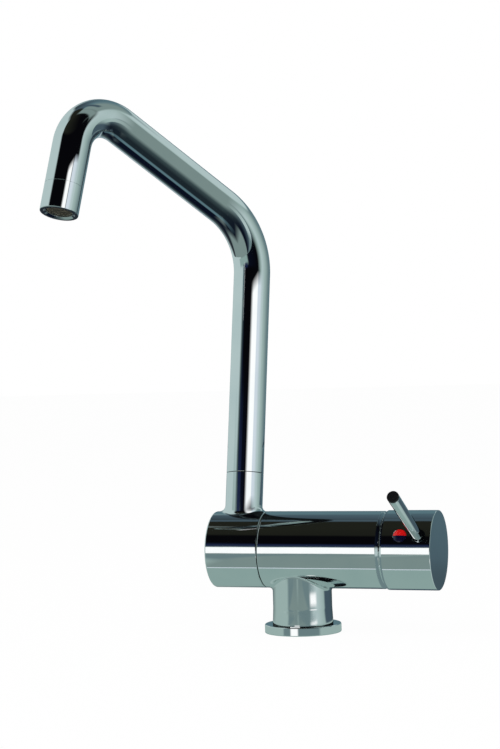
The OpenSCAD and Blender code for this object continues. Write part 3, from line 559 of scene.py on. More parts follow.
class Finish:
    """A material or world whose nodes are being added."""

    def __init__(self, owner):
        owner.use_nodes = True
        self.owner = owner
        self.tree = owner.node_tree
        self.tree.nodes.clear()

    def node(self, kind, settings, sockets):
        """Adds a node, sets its settings, and then fills its sockets with values or links."""
        node = self.tree.nodes.new(kind)
        for name, value in settings.items():
            if name == "stops":
                fill_ramp(node.color_ramp, value)
            else:
                setattr(node, name, value)
        for name, value in sockets.items():
            value = value.socket if isinstance(value, Maths) else value
            if isinstance(value, bpy.types.NodeSocket):
                self.tree.links.new(value, node.inputs[name])
            else:
                node.inputs[name].default_value = value
        return node

    def number(self, kind, settings, sockets, output=0):
        """Adds a node and returns one output as a number for expressions."""
        return Maths(self, self.node(kind, settings, sockets).outputs[output])

    def blend(self, part, first, second):
        """A colour part of the way from one colour to another."""
        settings = {"data_type": "RGBA", "clamp_factor": True}
        sockets = {0: part, 6: opaque(first), 7: opaque(second)}
        return self.node("ShaderNodeMix", settings, sockets).outputs[2]

    def place(self):
        """Coordinates that stay with the piece."""
        return self.node("ShaderNodeTexCoord", {}, {}).outputs["Object"]

    def parts(self, vector):
        """The three parts of a vector, as numbers."""
        split = self.node("ShaderNodeSeparateXYZ", {}, {"Vector": vector})
        return [Maths(self, part) for part in split.outputs]

    def measure(self, operation, *vectors):
        """A length or a distance of vectors, as a number."""
        sockets = dict(enumerate(vectors))
        return self.number("ShaderNodeVectorMath", {"operation": operation}, sockets, "Value")

    def path(self, output):
        """What the ray that meets the surface has done so far, as a number."""
        return self.number("ShaderNodeLightPath", {}, {}, output)

    def light(self, tint):
        """Light of a colour, as plain as it is."""
        sockets = {"Color": opaque(tint), "Strength": 1.0}
        return self.node("ShaderNodeEmission", {}, sockets).outputs["Emission"]

    def mix(self, part, first, second):
        """A shader part of the way from one shader to another."""
        return self.node("ShaderNodeMixShader", {}, {0: part, 1: first, 2: second}).outputs["Shader"]

    def noise(self, scale, detail):
        """Noise from nought to one, with a scale in waves to the metre."""
        sockets = {"Vector": self.place(), "Scale": scale, "Detail": detail, "Roughness": 0.5}
        return self.number("ShaderNodeTexNoise", {"noise_dimensions": "3D"}, sockets)

    def stretch(self, value, low, high):
        """Share of the way that a number is from one place to another."""
        sockets = {"Value": value, "From Min": low, "From Max": high, "To Min": 0.0, "To Max": 1.0}
        return self.number("ShaderNodeMapRange", {"clamp": True}, sockets)

    def within(self, value, *borders):
        """Share of a number past all its borders, each given as the places of nought and of one."""
        share = self.stretch(value, *borders[0])
        for border in borders[1:]:
            share = share * self.stretch(value, *border)
        return share

    def band(self, value, low, high, soft):
        """One between two places of a number, with soft edges, and nought outside them."""
        rising = self.stretch(value, low - soft / 2, low + soft / 2)
        falling = self.stretch(value, high - soft / 2, high + soft / 2)
        return rising * (1.0 - falling)

    def bump(self, height, distance):
        """Normal of a surface with this height on it."""
        sockets = {"Height": height, "Distance": distance, "Strength": 1.0}
        return self.node("ShaderNodeBump", {}, sockets).outputs["Normal"]

    def surface(self, **sockets):
        """Ends the material with one Principled shader."""
        named = {name.replace("_", " "): value for name, value in sockets.items()}
        return self.output(self.node("ShaderNodeBsdfPrincipled", {}, named).outputs["BSDF"])

    def output(self, socket):
        """Links the last shader to the output."""
        kind = "World" if isinstance(self.owner, bpy.types.World) else "Material"
        self.node("ShaderNodeOutput" + kind, {}, {"Surface": socket})
        return self.owner


def opaque(value):
    """A colour with full alpha, or the socket or number it was given."""
    if isinstance(value, (bpy.types.NodeSocket, Maths)):
        return value
    return (*value, 1.0)


def fill_ramp(ramp, stops):
    """Sets a colour ramp's stops, given as (place, colour)."""
    while len(ramp.elements) < len(stops):
        ramp.elements.new(1.0)
    for element, (position, value) in zip(ramp.elements, stops):
        element.position = position
        element.color = opaque(value)


def finish_named(name):
    """A new material that is ready for its nodes."""
    return Finish(bpy.data.materials.new(name))


def finishes():
    """The colours that the sidebar holds."""
    return bpy.context.scene.tap_finishes


def made_once(make):
    """Lets a function that makes a material hand out the same one again."""
    kept = {}

    def fetch():
        if "material" not in kept:
            kept["material"] = make()
        return kept["material"]

    return fetch


@made_once
def chrome():
    """Polished chrome with the faint waves and haze of hand polishing."""
    colours = finishes()
    made = finish_named("polished_chrome")
    haze = made.stretch(made.noise(scale=45.0, detail=3.0), 0.42, 0.72)
    specks = made.stretch(made.noise(scale=900.0, detail=2.0), 0.62, 0.80)
    waves = made.noise(scale=38.0, detail=1.0) + 0.25 * made.noise(scale=110.0, detail=1.0)
    tint = made.blend(haze, tuple(colours.chrome), tuple(colours.chrome_dull))
    rough = 0.035 + 0.03 * haze + 0.05 * specks
    normal = made.bump(waves, distance=colours.chrome_wave)
    return made.surface(Base_Color=tint, Metallic=1.0, Roughness=rough, Normal=normal)


def turned_metal(name, tint, rough):
    """Machined metal with fine tool marks round the barrel's axis."""
    made = finish_named(name)
    marks = made.noise(scale=2600.0, detail=1.0)
    stain = made.stretch(made.noise(scale=60.0, detail=4.0), 0.35, 0.75)
    dark = tuple(value * 0.7 for value in tint)
    shade = made.blend(0.6 * stain, tuple(tint), dark)
    grain = rough + 0.12 * marks + 0.1 * stain
    return made.surface(Base_Color=shade, Metallic=1.0, Roughness=grain, Normal=made.bump(marks, 0.00002))


@made_once
def brass():
    """Turned brass of the pivot, spigot, spindle and nut."""
    return turned_metal("turned_brass", finishes().brass, 0.24)


@made_once
def steel():
    """Stainless steel of screws, pins and washers."""
    return turned_metal("stainless_steel", finishes().steel, 0.26)


@made_once
def gauze_steel():
    """Stainless gauze with lime and water stains."""
    made = finish_named("limed_gauze")
    lime = made.stretch(made.noise(scale=700.0, detail=3.0), 0.45, 0.7)
    tint = tuple(finishes().gauze)
    pale = tuple(value * 1.9 for value in tint)
    shade = made.blend(lime, tint, pale)
    return made.surface(Base_Color=shade, Metallic=0.5, Roughness=0.42 + 0.25 * lime)


def moulded(name, tint, rough, coat=0.0, grain=1500.0, depth=0.00001):
    """Moulded plastic, rubber or ceramic with a fine grain and slight shading."""
    made = finish_named(name)
    cloud = made.stretch(made.noise(scale=220.0, detail=3.0), 0.3, 0.7)
    skin = made.noise(scale=grain, detail=2.0)
    shade = made.blend(cloud, tuple(tint), tuple(value * 0.86 for value in tint))
    normal = made.bump(skin, depth)
    return made.surface(
        Base_Color=shade, Roughness=rough + 0.1 * skin, Normal=normal, Coat_Weight=coat
    )


@made_once
def rubber():
    """Matt black rubber of rings and seals."""
    return moulded("black_rubber", finishes().rubber, 0.55)


@made_once
def black_plastic():
    """Satin black plastic of the lever's plug."""
    return moulded("black_plastic", finishes().black, 0.34)


@made_once
def grey_plastic():
    """Dark plastic inside the outlet."""
    return moulded("grey_plastic", finishes().grey, 0.5)


@made_once
def white_plastic():
    """White plastic of the glide ring, the thrust washer and the cartridge."""
    return moulded("white_plastic", finishes().white, 0.42)


@made_once
def ceramic():
    """Lapped ceramic of the discs."""
    return moulded("lapped_ceramic", finishes().ceramic, 0.2, grain=4000.0, depth=0.000002)


@made_once
def hot_plastic():
    """Glossy red of the hot half."""
    return moulded("red_plastic", finishes().hot, 0.16, coat=0.4, grain=900.0, depth=0.000004)


@made_once
def cold_plastic():
    """Glossy dark blue of the cold half."""
    return moulded("blue_plastic", finishes().cold, 0.16, coat=0.4, grain=900.0, depth=0.000004)


def make_body():
    """Barrel and stem in one casting, with its mouths, its socket and its three tapped holes."""
    sizes = bpy.context.scene.tap_body
    shell = Shell(STEM_TEE)
    socket_x = BODY_X0 + sizes.socket_depth
    floor_x = BODY_X1 - sizes.chamber_depth
    middle = (BODY_X0 + BODY_X1) / 2
    right = outline(
        (BODY_R, middle, 0),
        (BODY_R, BODY_X1, sizes.seam_edge),
        (sizes.mouth_radius, BODY_X1, 0),
        (sizes.mouth_radius, BODY_X1 - sizes.mouth_depth, 0),
        (sizes.chamber_radius, BODY_X1 - sizes.mouth_depth, 0),
        (sizes.chamber_radius, floor_x, 0),
        (0, floor_x, 0),
    )[1:]
    left = outline(
        (0, socket_x, 0),
        (sizes.socket_radius, socket_x, 0),
        (sizes.socket_radius, BODY_X0 + sizes.recess_depth, 0),
        (sizes.recess_radius, BODY_X0 + sizes.recess_depth, 0),
        (sizes.recess_radius, BODY_X0, 0),
        (BODY_R, BODY_X0, sizes.seam_edge),
        (BODY_R, middle, 0),
    )[:-1]
    shell.turn(right, tee_turns())
    shell.turn(left, tee_turns())
    turns, row = tee(shell, BODY_R, left[-1][1], right[0][1], sizes.stem_radius, sizes.stem_fillet)
    row = branch_row(row)
    shell.matrix = STEM_TEE @ BRANCH
    step = AXIS_H - FLANGE_T
    foot = outline(
        (sizes.stem_radius, step - 2 * sizes.flare_height, 0),
        (sizes.stem_radius, step - sizes.flare_height, 3 * sizes.flare_height),
        (sizes.stem_radius + sizes.stem_flare, step, sizes.stem_flare / 2),
        (sizes.register_radius, step, 0),
        (sizes.register_radius, AXIS_H, 0),
    )[1:]
    shell.strip([row, ring(foot[0], turns)], closed=True)
    shell.turn(foot, turns)
    tap_underside(shell, sizes, turns)
    shell.build("body_shell", chrome(), "tap_body", "chrome", "main_body")


def tap_underside(shell, sizes, turns):
    """The stem's flat underside, with the stud's hole and the two inlets in it."""
    side = sizes.inlet_pitch / 2
    holes = [
        (-sizes.stud_offset, 0, sizes.stud_radius, sizes.stud_depth),
        (sizes.inlet_offset, side, sizes.inlet_radius, sizes.inlet_depth),
        (sizes.inlet_offset, -side, sizes.inlet_radius, sizes.inlet_depth),
    ]
    circle = turns_of(40)
    loops = [level_circle(0, 0, sizes.register_radius, turns)]
    for x, y, radius, depth in holes:
        loops.append(level_circle(x, y, radius, circle))
        pocket(shell, x, y, AXIS_H, radius, depth, circle)
    points = [point for loop in loops for point in loop]
    flat = [[Vector((x, y)) for x, y, _ in loop] for loop in loops]
    for corners in tessellate_polygon(flat):
        shell.face([(points[i], (0, 0, 1)) for i in corners])


def level_circle(x, y, radius, turns):
    """Points round a circle on the stem's underside."""
    return [(x + radius * math.cos(turn), y + radius * math.sin(turn), AXIS_H) for turn in turns]


def make_flange():
    """Flange that covers the worktop's hole, with the groove for its seal."""
    sizes = bpy.context.scene.tap_body
    shell = Shell()
    profile = outline(
        (sizes.register_radius, 0, 0),
        (sizes.groove_radius, 0, 0),
        (sizes.groove_radius, SEAL_T, 0),
        (SEAL_R, SEAL_T, 0),
        (SEAL_R, 0, 0),
        (FLANGE_R, 0, sizes.flange_edge),
        (FLANGE_R, FLANGE_T, sizes.flange_edge),
        (sizes.register_radius, FLANGE_T, 0),
        (sizes.register_radius, 0, 0),
    )
    shell.turn(profile, turns_of(2 * FINE))
    shell.build("flange_shell", chrome(), "tap_body", "chrome", "base_flange")


def make_head():
    """Folding head with its neck, the set screw's hole and the cavity behind the end cover."""
    sizes = bpy.context.scene.tap_head
    shell = Shell(NECK_TEE)
    x0, x1 = HEAD_X0 - NECK_X, HEAD_X1 - NECK_X
    cover = COVER_X1 - NECK_X
    shoulder = cover + sizes.cavity_depth
    profile = outline(
        (BODY_R, 0, 0),
        (BODY_R, x1, sizes.seam_edge),
        (sizes.journal_bore, x1, 0),
        (sizes.journal_bore, shoulder, 0),
        (sizes.cavity_radius, shoulder, 0),
        (sizes.cavity_radius, cover, 0),
        (COVER_R, cover, 0),
        (COVER_R, x0, 0),
        (BODY_R, x0, sizes.outer_edge),
        (BODY_R, 0, 0),
    )[1:-1]
    shell.turn(profile, tee_turns())
    turns, row = tee(shell, BODY_R, profile[-1][1], profile[0][1], sizes.neck_radius, sizes.neck_fillet)
    row = branch_row(row)
    shell.matrix = NECK_TEE @ BRANCH
    top = sizes.neck_height
    mouth = outline(
        (sizes.neck_radius, sizes.screw_height, 0),
        (sizes.neck_radius, top, sizes.neck_edge),
        (sizes.ring_radius, top, 0),
        (sizes.ring_radius, top - sizes.ring_depth, 0),
        (sizes.neck_bore, top - sizes.ring_depth, 0),
        (sizes.neck_bore, top - sizes.bore_depth, 0),
        (0, top - sizes.bore_depth, 0),
    )[1:]
    screw_patch(shell, sizes, turns, row, mouth[0])
    shell.turn(mouth, turns)
    shell.build("head_shell", chrome(), "folding_head", "chrome", "swivel_head")


def screw_patch(shell, sizes, turns, row, last):
    """The neck's side from its foot to its top, with the set screw's hole behind."""
    radius, middle = sizes.neck_radius, sizes.screw_height
    reach = sizes.screw_field / radius
    inside = [i for i, turn in enumerate(turns) if abs(turn - QUARTER) < reach]
    columns = [turns[i] for i in (*inside, inside[-1] + 1)]
    half = 6
    heights = [middle + sizes.screw_field * (i / half - 1) for i in range(2 * half + 1)]
    levels = [ring((radius, height, 1, 0), turns) for height in heights]
    shell.strip([row, levels[0]], closed=True)
    shell.strip(levels, closed=True, skip=inside)
    shell.strip([levels[-1], ring(last, turns)], closed=True)
    rising = columns[-1] > columns[0]
    border = border_of(columns if rising else columns[::-1], heights)

    def side(turn, height):
        x, y = math.cos(turn), math.sin(turn)
        return (radius * x, radius * y, height), (x, y, 0)

    hole, wall = [], []
    for turn, height in border:
        aim = math.atan2(height - middle, radius * (turn - QUARTER))
        across, up = sizes.screw_radius * math.cos(aim), sizes.screw_radius * math.sin(aim)
        hole.append((QUARTER + math.asin(across / radius), middle + up))
        wall.append((-across, middle + up, (math.cos(aim), -math.sin(aim))))
    spread(shell, side, hole, border, rings=4)
    floor = radius - sizes.screw_depth
    high = [(side(*spot)[0], (x, 0, z)) for spot, (_, _, (x, z)) in zip(hole, wall)]
    low = [((across, floor, height), (x, 0, z)) for across, height, (x, z) in wall]
    shell.strip([high, low], closed=True)
    shell.fan(low, (0, floor, middle), (0, 1, 0))


def make_end_cover():
    """Cover over the retaining screw in the head's outer end."""
    sizes = bpy.context.scene.tap_body
    edge = sizes.seam_edge / 2
    shell = Shell(ALONG_BAR)
    profile = outline((0, COVER_X0, 0), (COVER_R, COVER_X0, edge), (COVER_R, COVER_X1, 0), (0, COVER_X1, 0))
    shell.turn(profile, turns_of(FINE))
    shell.build("end_cover_shell", chrome(), "folding_head", "chrome", "head_end_cover")


def spout_root(sizes):
    """Place of the tube's foot, with local X the way the spout reaches."""
    swung = Matrix.Rotation(math.pi + sizes.swing, 4, "Z")
    return NECK_UP @ swung @ Matrix.Translation((0, 0, sizes.start))


def past_bend(start, length, radius, turn):
    """Place past a straight of some length and a bend."""
    shift = (radius * (1 - math.cos(turn)), 0, length + radius * math.sin(turn))
    return start @ Matrix.Translation(shift) @ Matrix.Rotation(turn, 4, "Y")


def spout_path(sizes, foot, head):
    """Places along the tube's centre line, both ends drawn in, and the place of the outlet."""
    low_turn = QUARTER - sizes.slope_angle
    top_turn = QUARTER + sizes.slope_angle - sizes.outlet_angle
    low_cut = sizes.low_bend * math.tan(low_turn / 2)
    top_cut = sizes.top_bend * math.tan(top_turn / 2)
    upright = sizes.rise - low_cut - sizes.start
    sloping = sizes.slope - low_cut - top_cut
    root = spout_root(sizes)
    places = [root @ Matrix.Translation((0, 0, foot))]
    for step in range(BEND_STEPS + 1):
        places.append(past_bend(root, upright, sizes.low_bend, low_turn * step / BEND_STEPS))
    slope = places[-1]
    for step in range(BEND_STEPS + 1):
        places.append(past_bend(slope, sloping, sizes.top_bend, top_turn * step / BEND_STEPS))
    outlet = places[-1]
    length = sizes.drop - top_cut
    places.append(outlet @ Matrix.Translation((0, 0, length - sizes.sleeve_length - head)))
    return places, outlet, length


def sweep(shell, places, radius, out, turns):
    """Covers a round tube along a list of places."""
    rows = []
    for spot in places:
        row = []
        for point, normal in ring((radius, 0, out, 0), turns):
            row.append((spot @ Vector(point), spot.to_3x3() @ Vector(normal)))
        rows.append(row)
    shell.strip(rows, closed=True)


def make_spout():
    """Bent spout tube with its bore."""
    sizes = bpy.context.scene.tap_spout
    radius = bpy.context.scene.tap_head.neck_radius
    bore = radius - sizes.wall
    turns = turns_of(FINE)
    shell = Shell()
    outside, outlet, length = spout_path(sizes, sizes.foot_edge, sizes.seam_edge)
    inside, _, _ = spout_path(sizes, 0, 0)
    sweep(shell, outside, radius, 1, turns)
    sweep(shell, inside, bore, -1, turns)
    shell.matrix = spout_root(sizes)
    foot = outline((bore, 0, 0), (radius, 0, sizes.foot_edge), (radius, sizes.wall, 0))
    shell.turn(foot[:-1], turns)
    shell.matrix = outlet
    seam = length - sizes.sleeve_length
    head = outline((radius, seam - sizes.wall, 0), (radius, seam, sizes.seam_edge), (bore, seam, 0))
    shell.turn(head[1:], turns)
    shell.build("spout_shell", chrome(), "spout", "chrome", "spout_tube")


def make_outlet():
    """Sleeve, woven gauze and the aerator behind it."""
    sizes = bpy.context.scene.tap_spout
    radius = bpy.context.scene.tap_head.neck_radius
    _, outlet, length = spout_path(sizes, 0, 0)
    bore = sizes.bore_radius
    seam = length - sizes.sleeve_length
    inner = seam - sizes.thread_length
    lip = length - sizes.lip_height
    shell = Shell(outlet)
    profile = outline(
        (bore, inner, 0),
        (radius - sizes.wall, inner, 0),
        (radius - sizes.wall, seam, 0),
        (radius, seam, sizes.seam_edge),
        (radius, length, sizes.rim_edge),
        (bore + sizes.lip_width / 2, length, sizes.rim_edge / 2),
        (bore - sizes.lip_width, length - sizes.lip_height / 2, sizes.rim_edge / 2),
        (bore - sizes.lip_width, lip, 0),
        (bore, lip, 0),
        (bore, inner, 0),
    )
    shell.turn(profile, turns_of(FINE))
    shell.build("outlet_sleeve", chrome(), "spout", "chrome", "aerator_sleeve")
    make_gauze(outlet, lip)
    make_aerator(outlet, lip)


def make_gauze(outlet, lip):
    """Round gauze of wires that pass over and under each other, inside its rim."""
    sizes = bpy.context.scene.tap_spout
    radius, wire, pitch = sizes.gauze_radius, sizes.wire_radius, sizes.gauze_pitch
    clear, steps_per_pitch = 2.1, 8
    level = lip - clear * wire
    shell = Shell(outlet)
    count = int((radius - 2 * wire) / pitch)
    for way in (0, 1):
        for number in range(-count, count + 1):
            offset = number * pitch
            half = math.sqrt(radius**2 - offset**2) - wire
            steps = max(SMOOTH, int(half / pitch * steps_per_pitch))
            rows = []
            for step in range(steps + 1):
                along = half * (2 * step / steps - 1)
                sign = 1 if (number + way) % 2 else -1
                wave = sign * wire * math.cos(math.pi * along / pitch)
                rows.append(wire_ring(way, along, offset, level + wave, wire))
            shell.strip(rows, closed=True)
            for end in (rows[0], rows[-1]):
                shell.face([(point, (0, 0, 1)) for point, _ in end])
    rim = outline(
        (radius - 4 * wire, level - 2 * wire, 0),
        (radius, level - 2 * wire, wire / 2),
        (radius, level + 2 * wire, wire),
        (radius - 4 * wire, level + 2 * wire, wire),
        (radius - 4 * wire, level - 2 * wire, 0),
    )
    shell.turn(rim, turns_of(FINE))
    shell.build("outlet_gauze", gauze_steel(), "spout", "steel", "aerator_screen")


def wire_ring(way, along, offset, height, radius):
    """Corners round a wire of the gauze at one place."""
    made = []
    for turn in turns_of(8):
        side, up = math.cos(turn), math.sin(turn)
        point = (along, offset + radius * side) if way == 0 else (offset + radius * side, along)
        normal = (0, side) if way == 0 else (side, 0)
        made.append(((*point, height + radius * up), (*normal, up)))
    return made


def make_aerator(outlet, lip):
    """Aerator's insert with its ringed spreader close behind the gauze."""
    sizes = bpy.context.scene.tap_spout
    radius = sizes.bore_radius
    low = lip - sizes.insert_length
    thick = sizes.lip_width
    face = lip - 2.2 * thick  # deep enough to stay clear of the gauze
    corners = [
        (0, low + thick, 0),
        (radius - 2 * thick, low + thick, 0),
        (radius - 2 * thick, low, 0),
        (radius, low, 0),
        (radius, lip, 0),
        (sizes.gauze_radius, lip, 0),
        (sizes.gauze_radius, face, 0),
    ]
    rings = 4
    for number in range(rings, 0, -1):
        spot = sizes.gauze_radius * number / (rings + 1)
        corners.append((spot + thick / 4, face, thick / 8))
        corners.append((spot, face - thick / 2, thick / 8))
        corners.append((spot - thick / 4, face, thick / 8))
    corners.append((0, face, 0))
    shell = Shell(outlet)
    shell.turn(outline(*corners), turns_of(FINE // 2))
    shell.build("outlet_aerator", grey_plastic(), "spout", "dark_plastic", "aerator_insert")


def make_dome_ring():
    """Ball-shaped ring between barrel and cap, with its spigot in the barrel's mouth."""
    sizes = bpy.context.scene.tap_handle
    radius = math.hypot(BODY_R, BODY_X1 - PIVOT_X)
    inner = radius - sizes.dome_wall
    step = BODY_X1 + sizes.dome_wall / 2
    seat = math.asin(BODY_R / radius)
    inner_seat = math.acos((step - PIVOT_X) / inner)
    profile = ball_outline(PIVOT_X, radius, seat, sizes.dome_hole)
    profile += ball_outline(PIVOT_X, inner, sizes.dome_hole, inner_seat, side=-1)
    profile += outline(
        (inner * math.sin(inner_seat), step, 0),
        (sizes.spigot_inner, step, 0),
        (sizes.spigot_inner, BODY_X1 - sizes.spigot_length, 0),
        (sizes.spigot_outer, BODY_X1 - sizes.spigot_length, 0),
        (sizes.spigot_outer, BODY_X1, 0),
        (BODY_R, BODY_X1, 0),
    )
    profile.append(profile[0])
    shell = Shell(ALONG_BAR)
    shell.turn(profile, turns_of(2 * FINE))
    shell.build("dome_shell", chrome(), "tap_body", "chrome", "dome_ring")


def lever_place(x):
    """Place on the cap with local X along the barrel and local Z along the lever."""
    return place(ON_AXIS + BAR_AXIS * x, BAR_AXIS, TILT_AXIS, LEVER_AXIS)


def cap_surface(x, turn):
    """Corner on the cap's side, in the lever's directions at the barrel's origin."""
    y, z = math.sin(turn), math.cos(turn)
    return (x, CAP_R * y, CAP_R * z), (0, y, z)


def make_cap():
    """Handle's cap with the lever's countersink and the index plug's seat."""
    sizes = bpy.context.scene.tap_handle
    half_turn = sizes.field / CAP_R
    lever_x, index_x = CAP_X0 + sizes.lever_at, CAP_X0 + sizes.index_at
    meeting = (lever_x + index_x) / 2
    across = 20
    fields = [(index_x - sizes.field, meeting), (meeting, lever_x + sizes.field)]
    xs = []
    for low, high in fields:
        xs += [low + (high - low) * i / across for i in range(across)]
    xs.append(fields[1][1])
    part = [half_turn * (2 * i / across - 1) for i in range(across + 1)]
    rest = 10 * across
    far = [half_turn + (ROUND - 2 * half_turn) * i / rest for i in range(rest + 1)]
    turns = part[:-1] + far[:-1]
    shell = Shell(place(ON_AXIS, TILT_AXIS, LEVER_AXIS, BAR_AXIS))
    flipped = [QUARTER - turn for turn in turns]
    mouth = outline(
        (sizes.boss_radius, CAP_X0 + sizes.boss_step, 0),
        (sizes.boss_radius, CAP_X1 - sizes.cap_end, 0),
        (sizes.cap_inner, CAP_X1 - sizes.cap_end, sizes.cap_edge),
        (sizes.cap_inner, CAP_X0 + sizes.cap_step, 0),
        (sizes.cap_bore, CAP_X0 + sizes.cap_step, 0),
        (sizes.cap_bore, CAP_X0, 0),
        (CAP_R, CAP_X0, sizes.cap_edge),
        (CAP_R, meeting, 0),
    )[:-1]
    end = outline((CAP_R, meeting, 0), (CAP_R, CAP_X1, sizes.cap_edge), (0, CAP_X1, 0))[1:]
    shell.turn(mouth, flipped)
    shell.turn(end, flipped)
    square_socket(shell, sizes, flipped)
    shell.matrix = lever_place(0)
    columns = [[cap_surface(x, turn) for x in xs] for turn in far]
    shell.strip(columns)
    for low, high in ((mouth[-1][1], xs[0]), (xs[-1], end[0][1])):
        shell.strip([[cap_surface(x, turn) for turn in turns] for x in (low, high)], closed=True)
    border = border_of(xs[: across + 1], part)
    index_seat(shell, sizes, index_x, border)
    border = border_of(xs[across:], part)
    lever_sink(shell, sizes, lever_x, border)
    shell.build("cap_shell", chrome(), "handle", "chrome", "handle_cap")


def square_socket(shell, sizes, turns):
    """Face of the cap's boss, with the spindle's square socket in it."""
    mouth = CAP_X0 + sizes.boss_step
    floor = mouth + sizes.socket_depth
    back = (0, 0, -1)
    face, edge, high, low = [], [], [], []
    for turn in turns:
        c, s = math.cos(turn), math.sin(turn)
        reach = sizes.socket_half / max(abs(c), abs(s))
        x, y = reach * c, reach * s
        wall = (-c, 0, 0) if abs(c) > abs(s) else (0, -s, 0)
        face.append(((sizes.boss_radius * c, sizes.boss_radius * s, mouth), back))
        edge.append(((x, y, mouth), back))
        high.append(((x, y, mouth), wall))
        low.append(((x, y, floor), wall))
    shell.strip([face, edge], closed=True)
    shell.strip([high, low], closed=True)
    shell.fan(low, (0, 0, floor), back)


def aims(x, border):
    """Directions from a hole's middle to the points of its border."""
    return [math.atan2(CAP_R * turn, spot - x) for spot, turn in border]


def round_hole(x, radii, directions):
    """Loop of a hole on the cap's side, as (place, turn)."""
    made = []
    for radius, aim in zip(radii, directions):
        made.append((x + radius * math.cos(aim), math.asin(radius * math.sin(aim) / CAP_R)))
    return made


def index_seat(shell, sizes, x, border):
    """Flat-bottomed seat of the index plug, with a small bevel at its mouth."""
    directions = aims(x, border)
    bevel = sizes.cap_edge / 2
    wide = round_hole(x, [sizes.index_radius + bevel] * len(border), directions)
    spread(shell, cap_surface, wide, border, rings=6)
    floor = CAP_R - sizes.index_depth
    rows = [[], [], [], []]
    for spot, aim in zip(wide, directions):
        u, v = math.cos(aim), math.sin(aim)
        rim = cap_surface(*spot)[0]
        r = sizes.index_radius
        slant = (-u, -v, 1)
        rows[0].append((rim, slant))
        rows[1].append(((x + r * u, r * v, rim[2] - bevel), slant))
        rows[2].append(((x + r * u, r * v, rim[2] - bevel), (-u, -v, 0)))
        rows[3].append(((x + r * u, r * v, floor), (-u, -v, 0)))
    shell.strip(rows, closed=True)
    shell.fan(rows[3], (x, 0, floor), (0, 0, 1))


def lever_sink(shell, sizes, x, border):
    """Conical countersink round the lever's root."""
    directions = aims(x, border)
    seat, foot, slope = sizes.lever_seat, sizes.sink_radius, sizes.sink_slope
    radii = []
    for aim in directions:
        radius = foot
        for _ in range(SETTLE):
            depth = math.sqrt(CAP_R**2 - (radius * math.sin(aim)) ** 2) - seat
            radius = foot + slope * depth
        radii.append(radius)
    wide = round_hole(x, radii, directions)
    spread(shell, cap_surface, wide, border, rings=6)
    rows = [[], []]
    for spot, aim in zip(wide, directions):
        u, v = math.cos(aim), math.sin(aim)
        slant = (-u, -v, slope)
        rows[0].append((cap_surface(*spot)[0], slant))
        rows[1].append(((x + foot * u, foot * v, seat), slant))
    shell.strip(rows, closed=True)
    shell.fan(rows[1], (x, 0, seat), (0, 0, 1))


def make_lever():
    """Lever with its threaded foot, and the black plug in its tip."""
    sizes = bpy.context.scene.tap_handle
    spot = lever_place(CAP_X0 + sizes.lever_at)
    edge = sizes.tip_length / 8
    neck = sizes.lever_tip - sizes.tip_length
    rod = outline(
        (0, sizes.lever_foot, 0),
        (sizes.thread_radius, sizes.lever_foot, edge),
        (sizes.thread_radius, sizes.lever_seat, 0),
        (sizes.root_radius, sizes.lever_seat, edge),
        (sizes.tip_radius, neck, edge),
        (0, neck, 0),
    )
    shell = Shell(spot)
    shell.turn(rod, turns_of(FINE))
    shell.build("lever_rod", chrome(), "handle", "chrome", "lever_pin")
    plug = outline(
        (0, neck, 0),
        (sizes.tip_radius, neck, edge),
        (sizes.tip_radius, sizes.lever_tip - 2 * edge, edge),
        (sizes.tip_radius - 2 * edge, sizes.lever_tip, edge / 2),
        (0, sizes.lever_tip, 0),
    )
    shell = Shell(spot)
    shell.turn(plug, turns_of(FINE))
    shell.build("lever_plug", black_plastic(), "handle", "dark_plastic", "lever_tip_plug")


def make_index_half(name, side, finish, slot, node):
    """One half of the domed index plug. The halves meet in a flat face along the barrel."""
    sizes = bpy.context.scene.tap_handle
    radius, dome = sizes.index_radius, sizes.index_dome
    floor = CAP_R - sizes.index_depth
    centre = CAP_R + sizes.index_proud - dome
    edge = math.asin(radius / dome)
    profile = outline((0, floor, 0), (radius, floor, 0), (radius, centre + dome * math.cos(edge), 0))
    profile += ball_outline(centre, dome, edge, 0)
    sides = FINE // 2
    turns = [side * math.pi * i / sides for i in range(sides + 1)]
    shell = Shell(lever_place(CAP_X0 + sizes.index_at))
    shell.turn(profile, turns, closed=False)
    for low, high in zip(profile, profile[1:]):
        corners = [(low[0], 0, low[1]), (high[0], 0, high[1]), (-high[0], 0, high[1]), (-low[0], 0, low[1])]
        shell.face([(corner, (0, -side, 0)) for corner in corners])
    shell.build(name, finish, "handle", slot, node)


def make_index():
    """Red half above and dark blue half below."""
    make_index_half("index_hot", 1, hot_plastic(), "red_plastic", "index_plug_hot")
    make_index_half("index_cold", -1, cold_plastic(), "blue_plastic", "index_plug_cold")


def dress_inner_parts():
    """Finishes of the pieces that stay as they were constructed."""
    brass_parts = ("cartridge_nut", "pivot_spigot", "spout_spigot", "cartridge_spindle")
    steel_parts = (
        "stop_pin", "retaining_washer", "retaining_screw", "spout_set_screw", "spindle_pivot_pin",
        "handle_set_screw",
    )
    rubber_parts = ("base_seal", "cartridge_seals", "pivot_orings", "spout_orings", "aerator_washer")
    white_parts = (
        "cartridge_base", "cartridge_housing", "thrust_washer", "neck_glide_ring", "cartridge_rotor",
        "disc_carrier",
    )
    ceramic_parts = ("fixed_ceramic_disc", "moving_ceramic_disc")
    groups = (
        (brass_parts, brass(), "brass"),
        (steel_parts, steel(), "steel"),
        (rubber_parts, rubber(), "rubber"),
        (white_parts, white_plastic(), "white_plastic"),
        (ceramic_parts, ceramic(), "ceramic"),
    )
    for names, finish, slot in groups:
        for name in names:
            node = frame["nodes"][name]
            node.data.materials.clear()
            node.data.materials.append(finish)


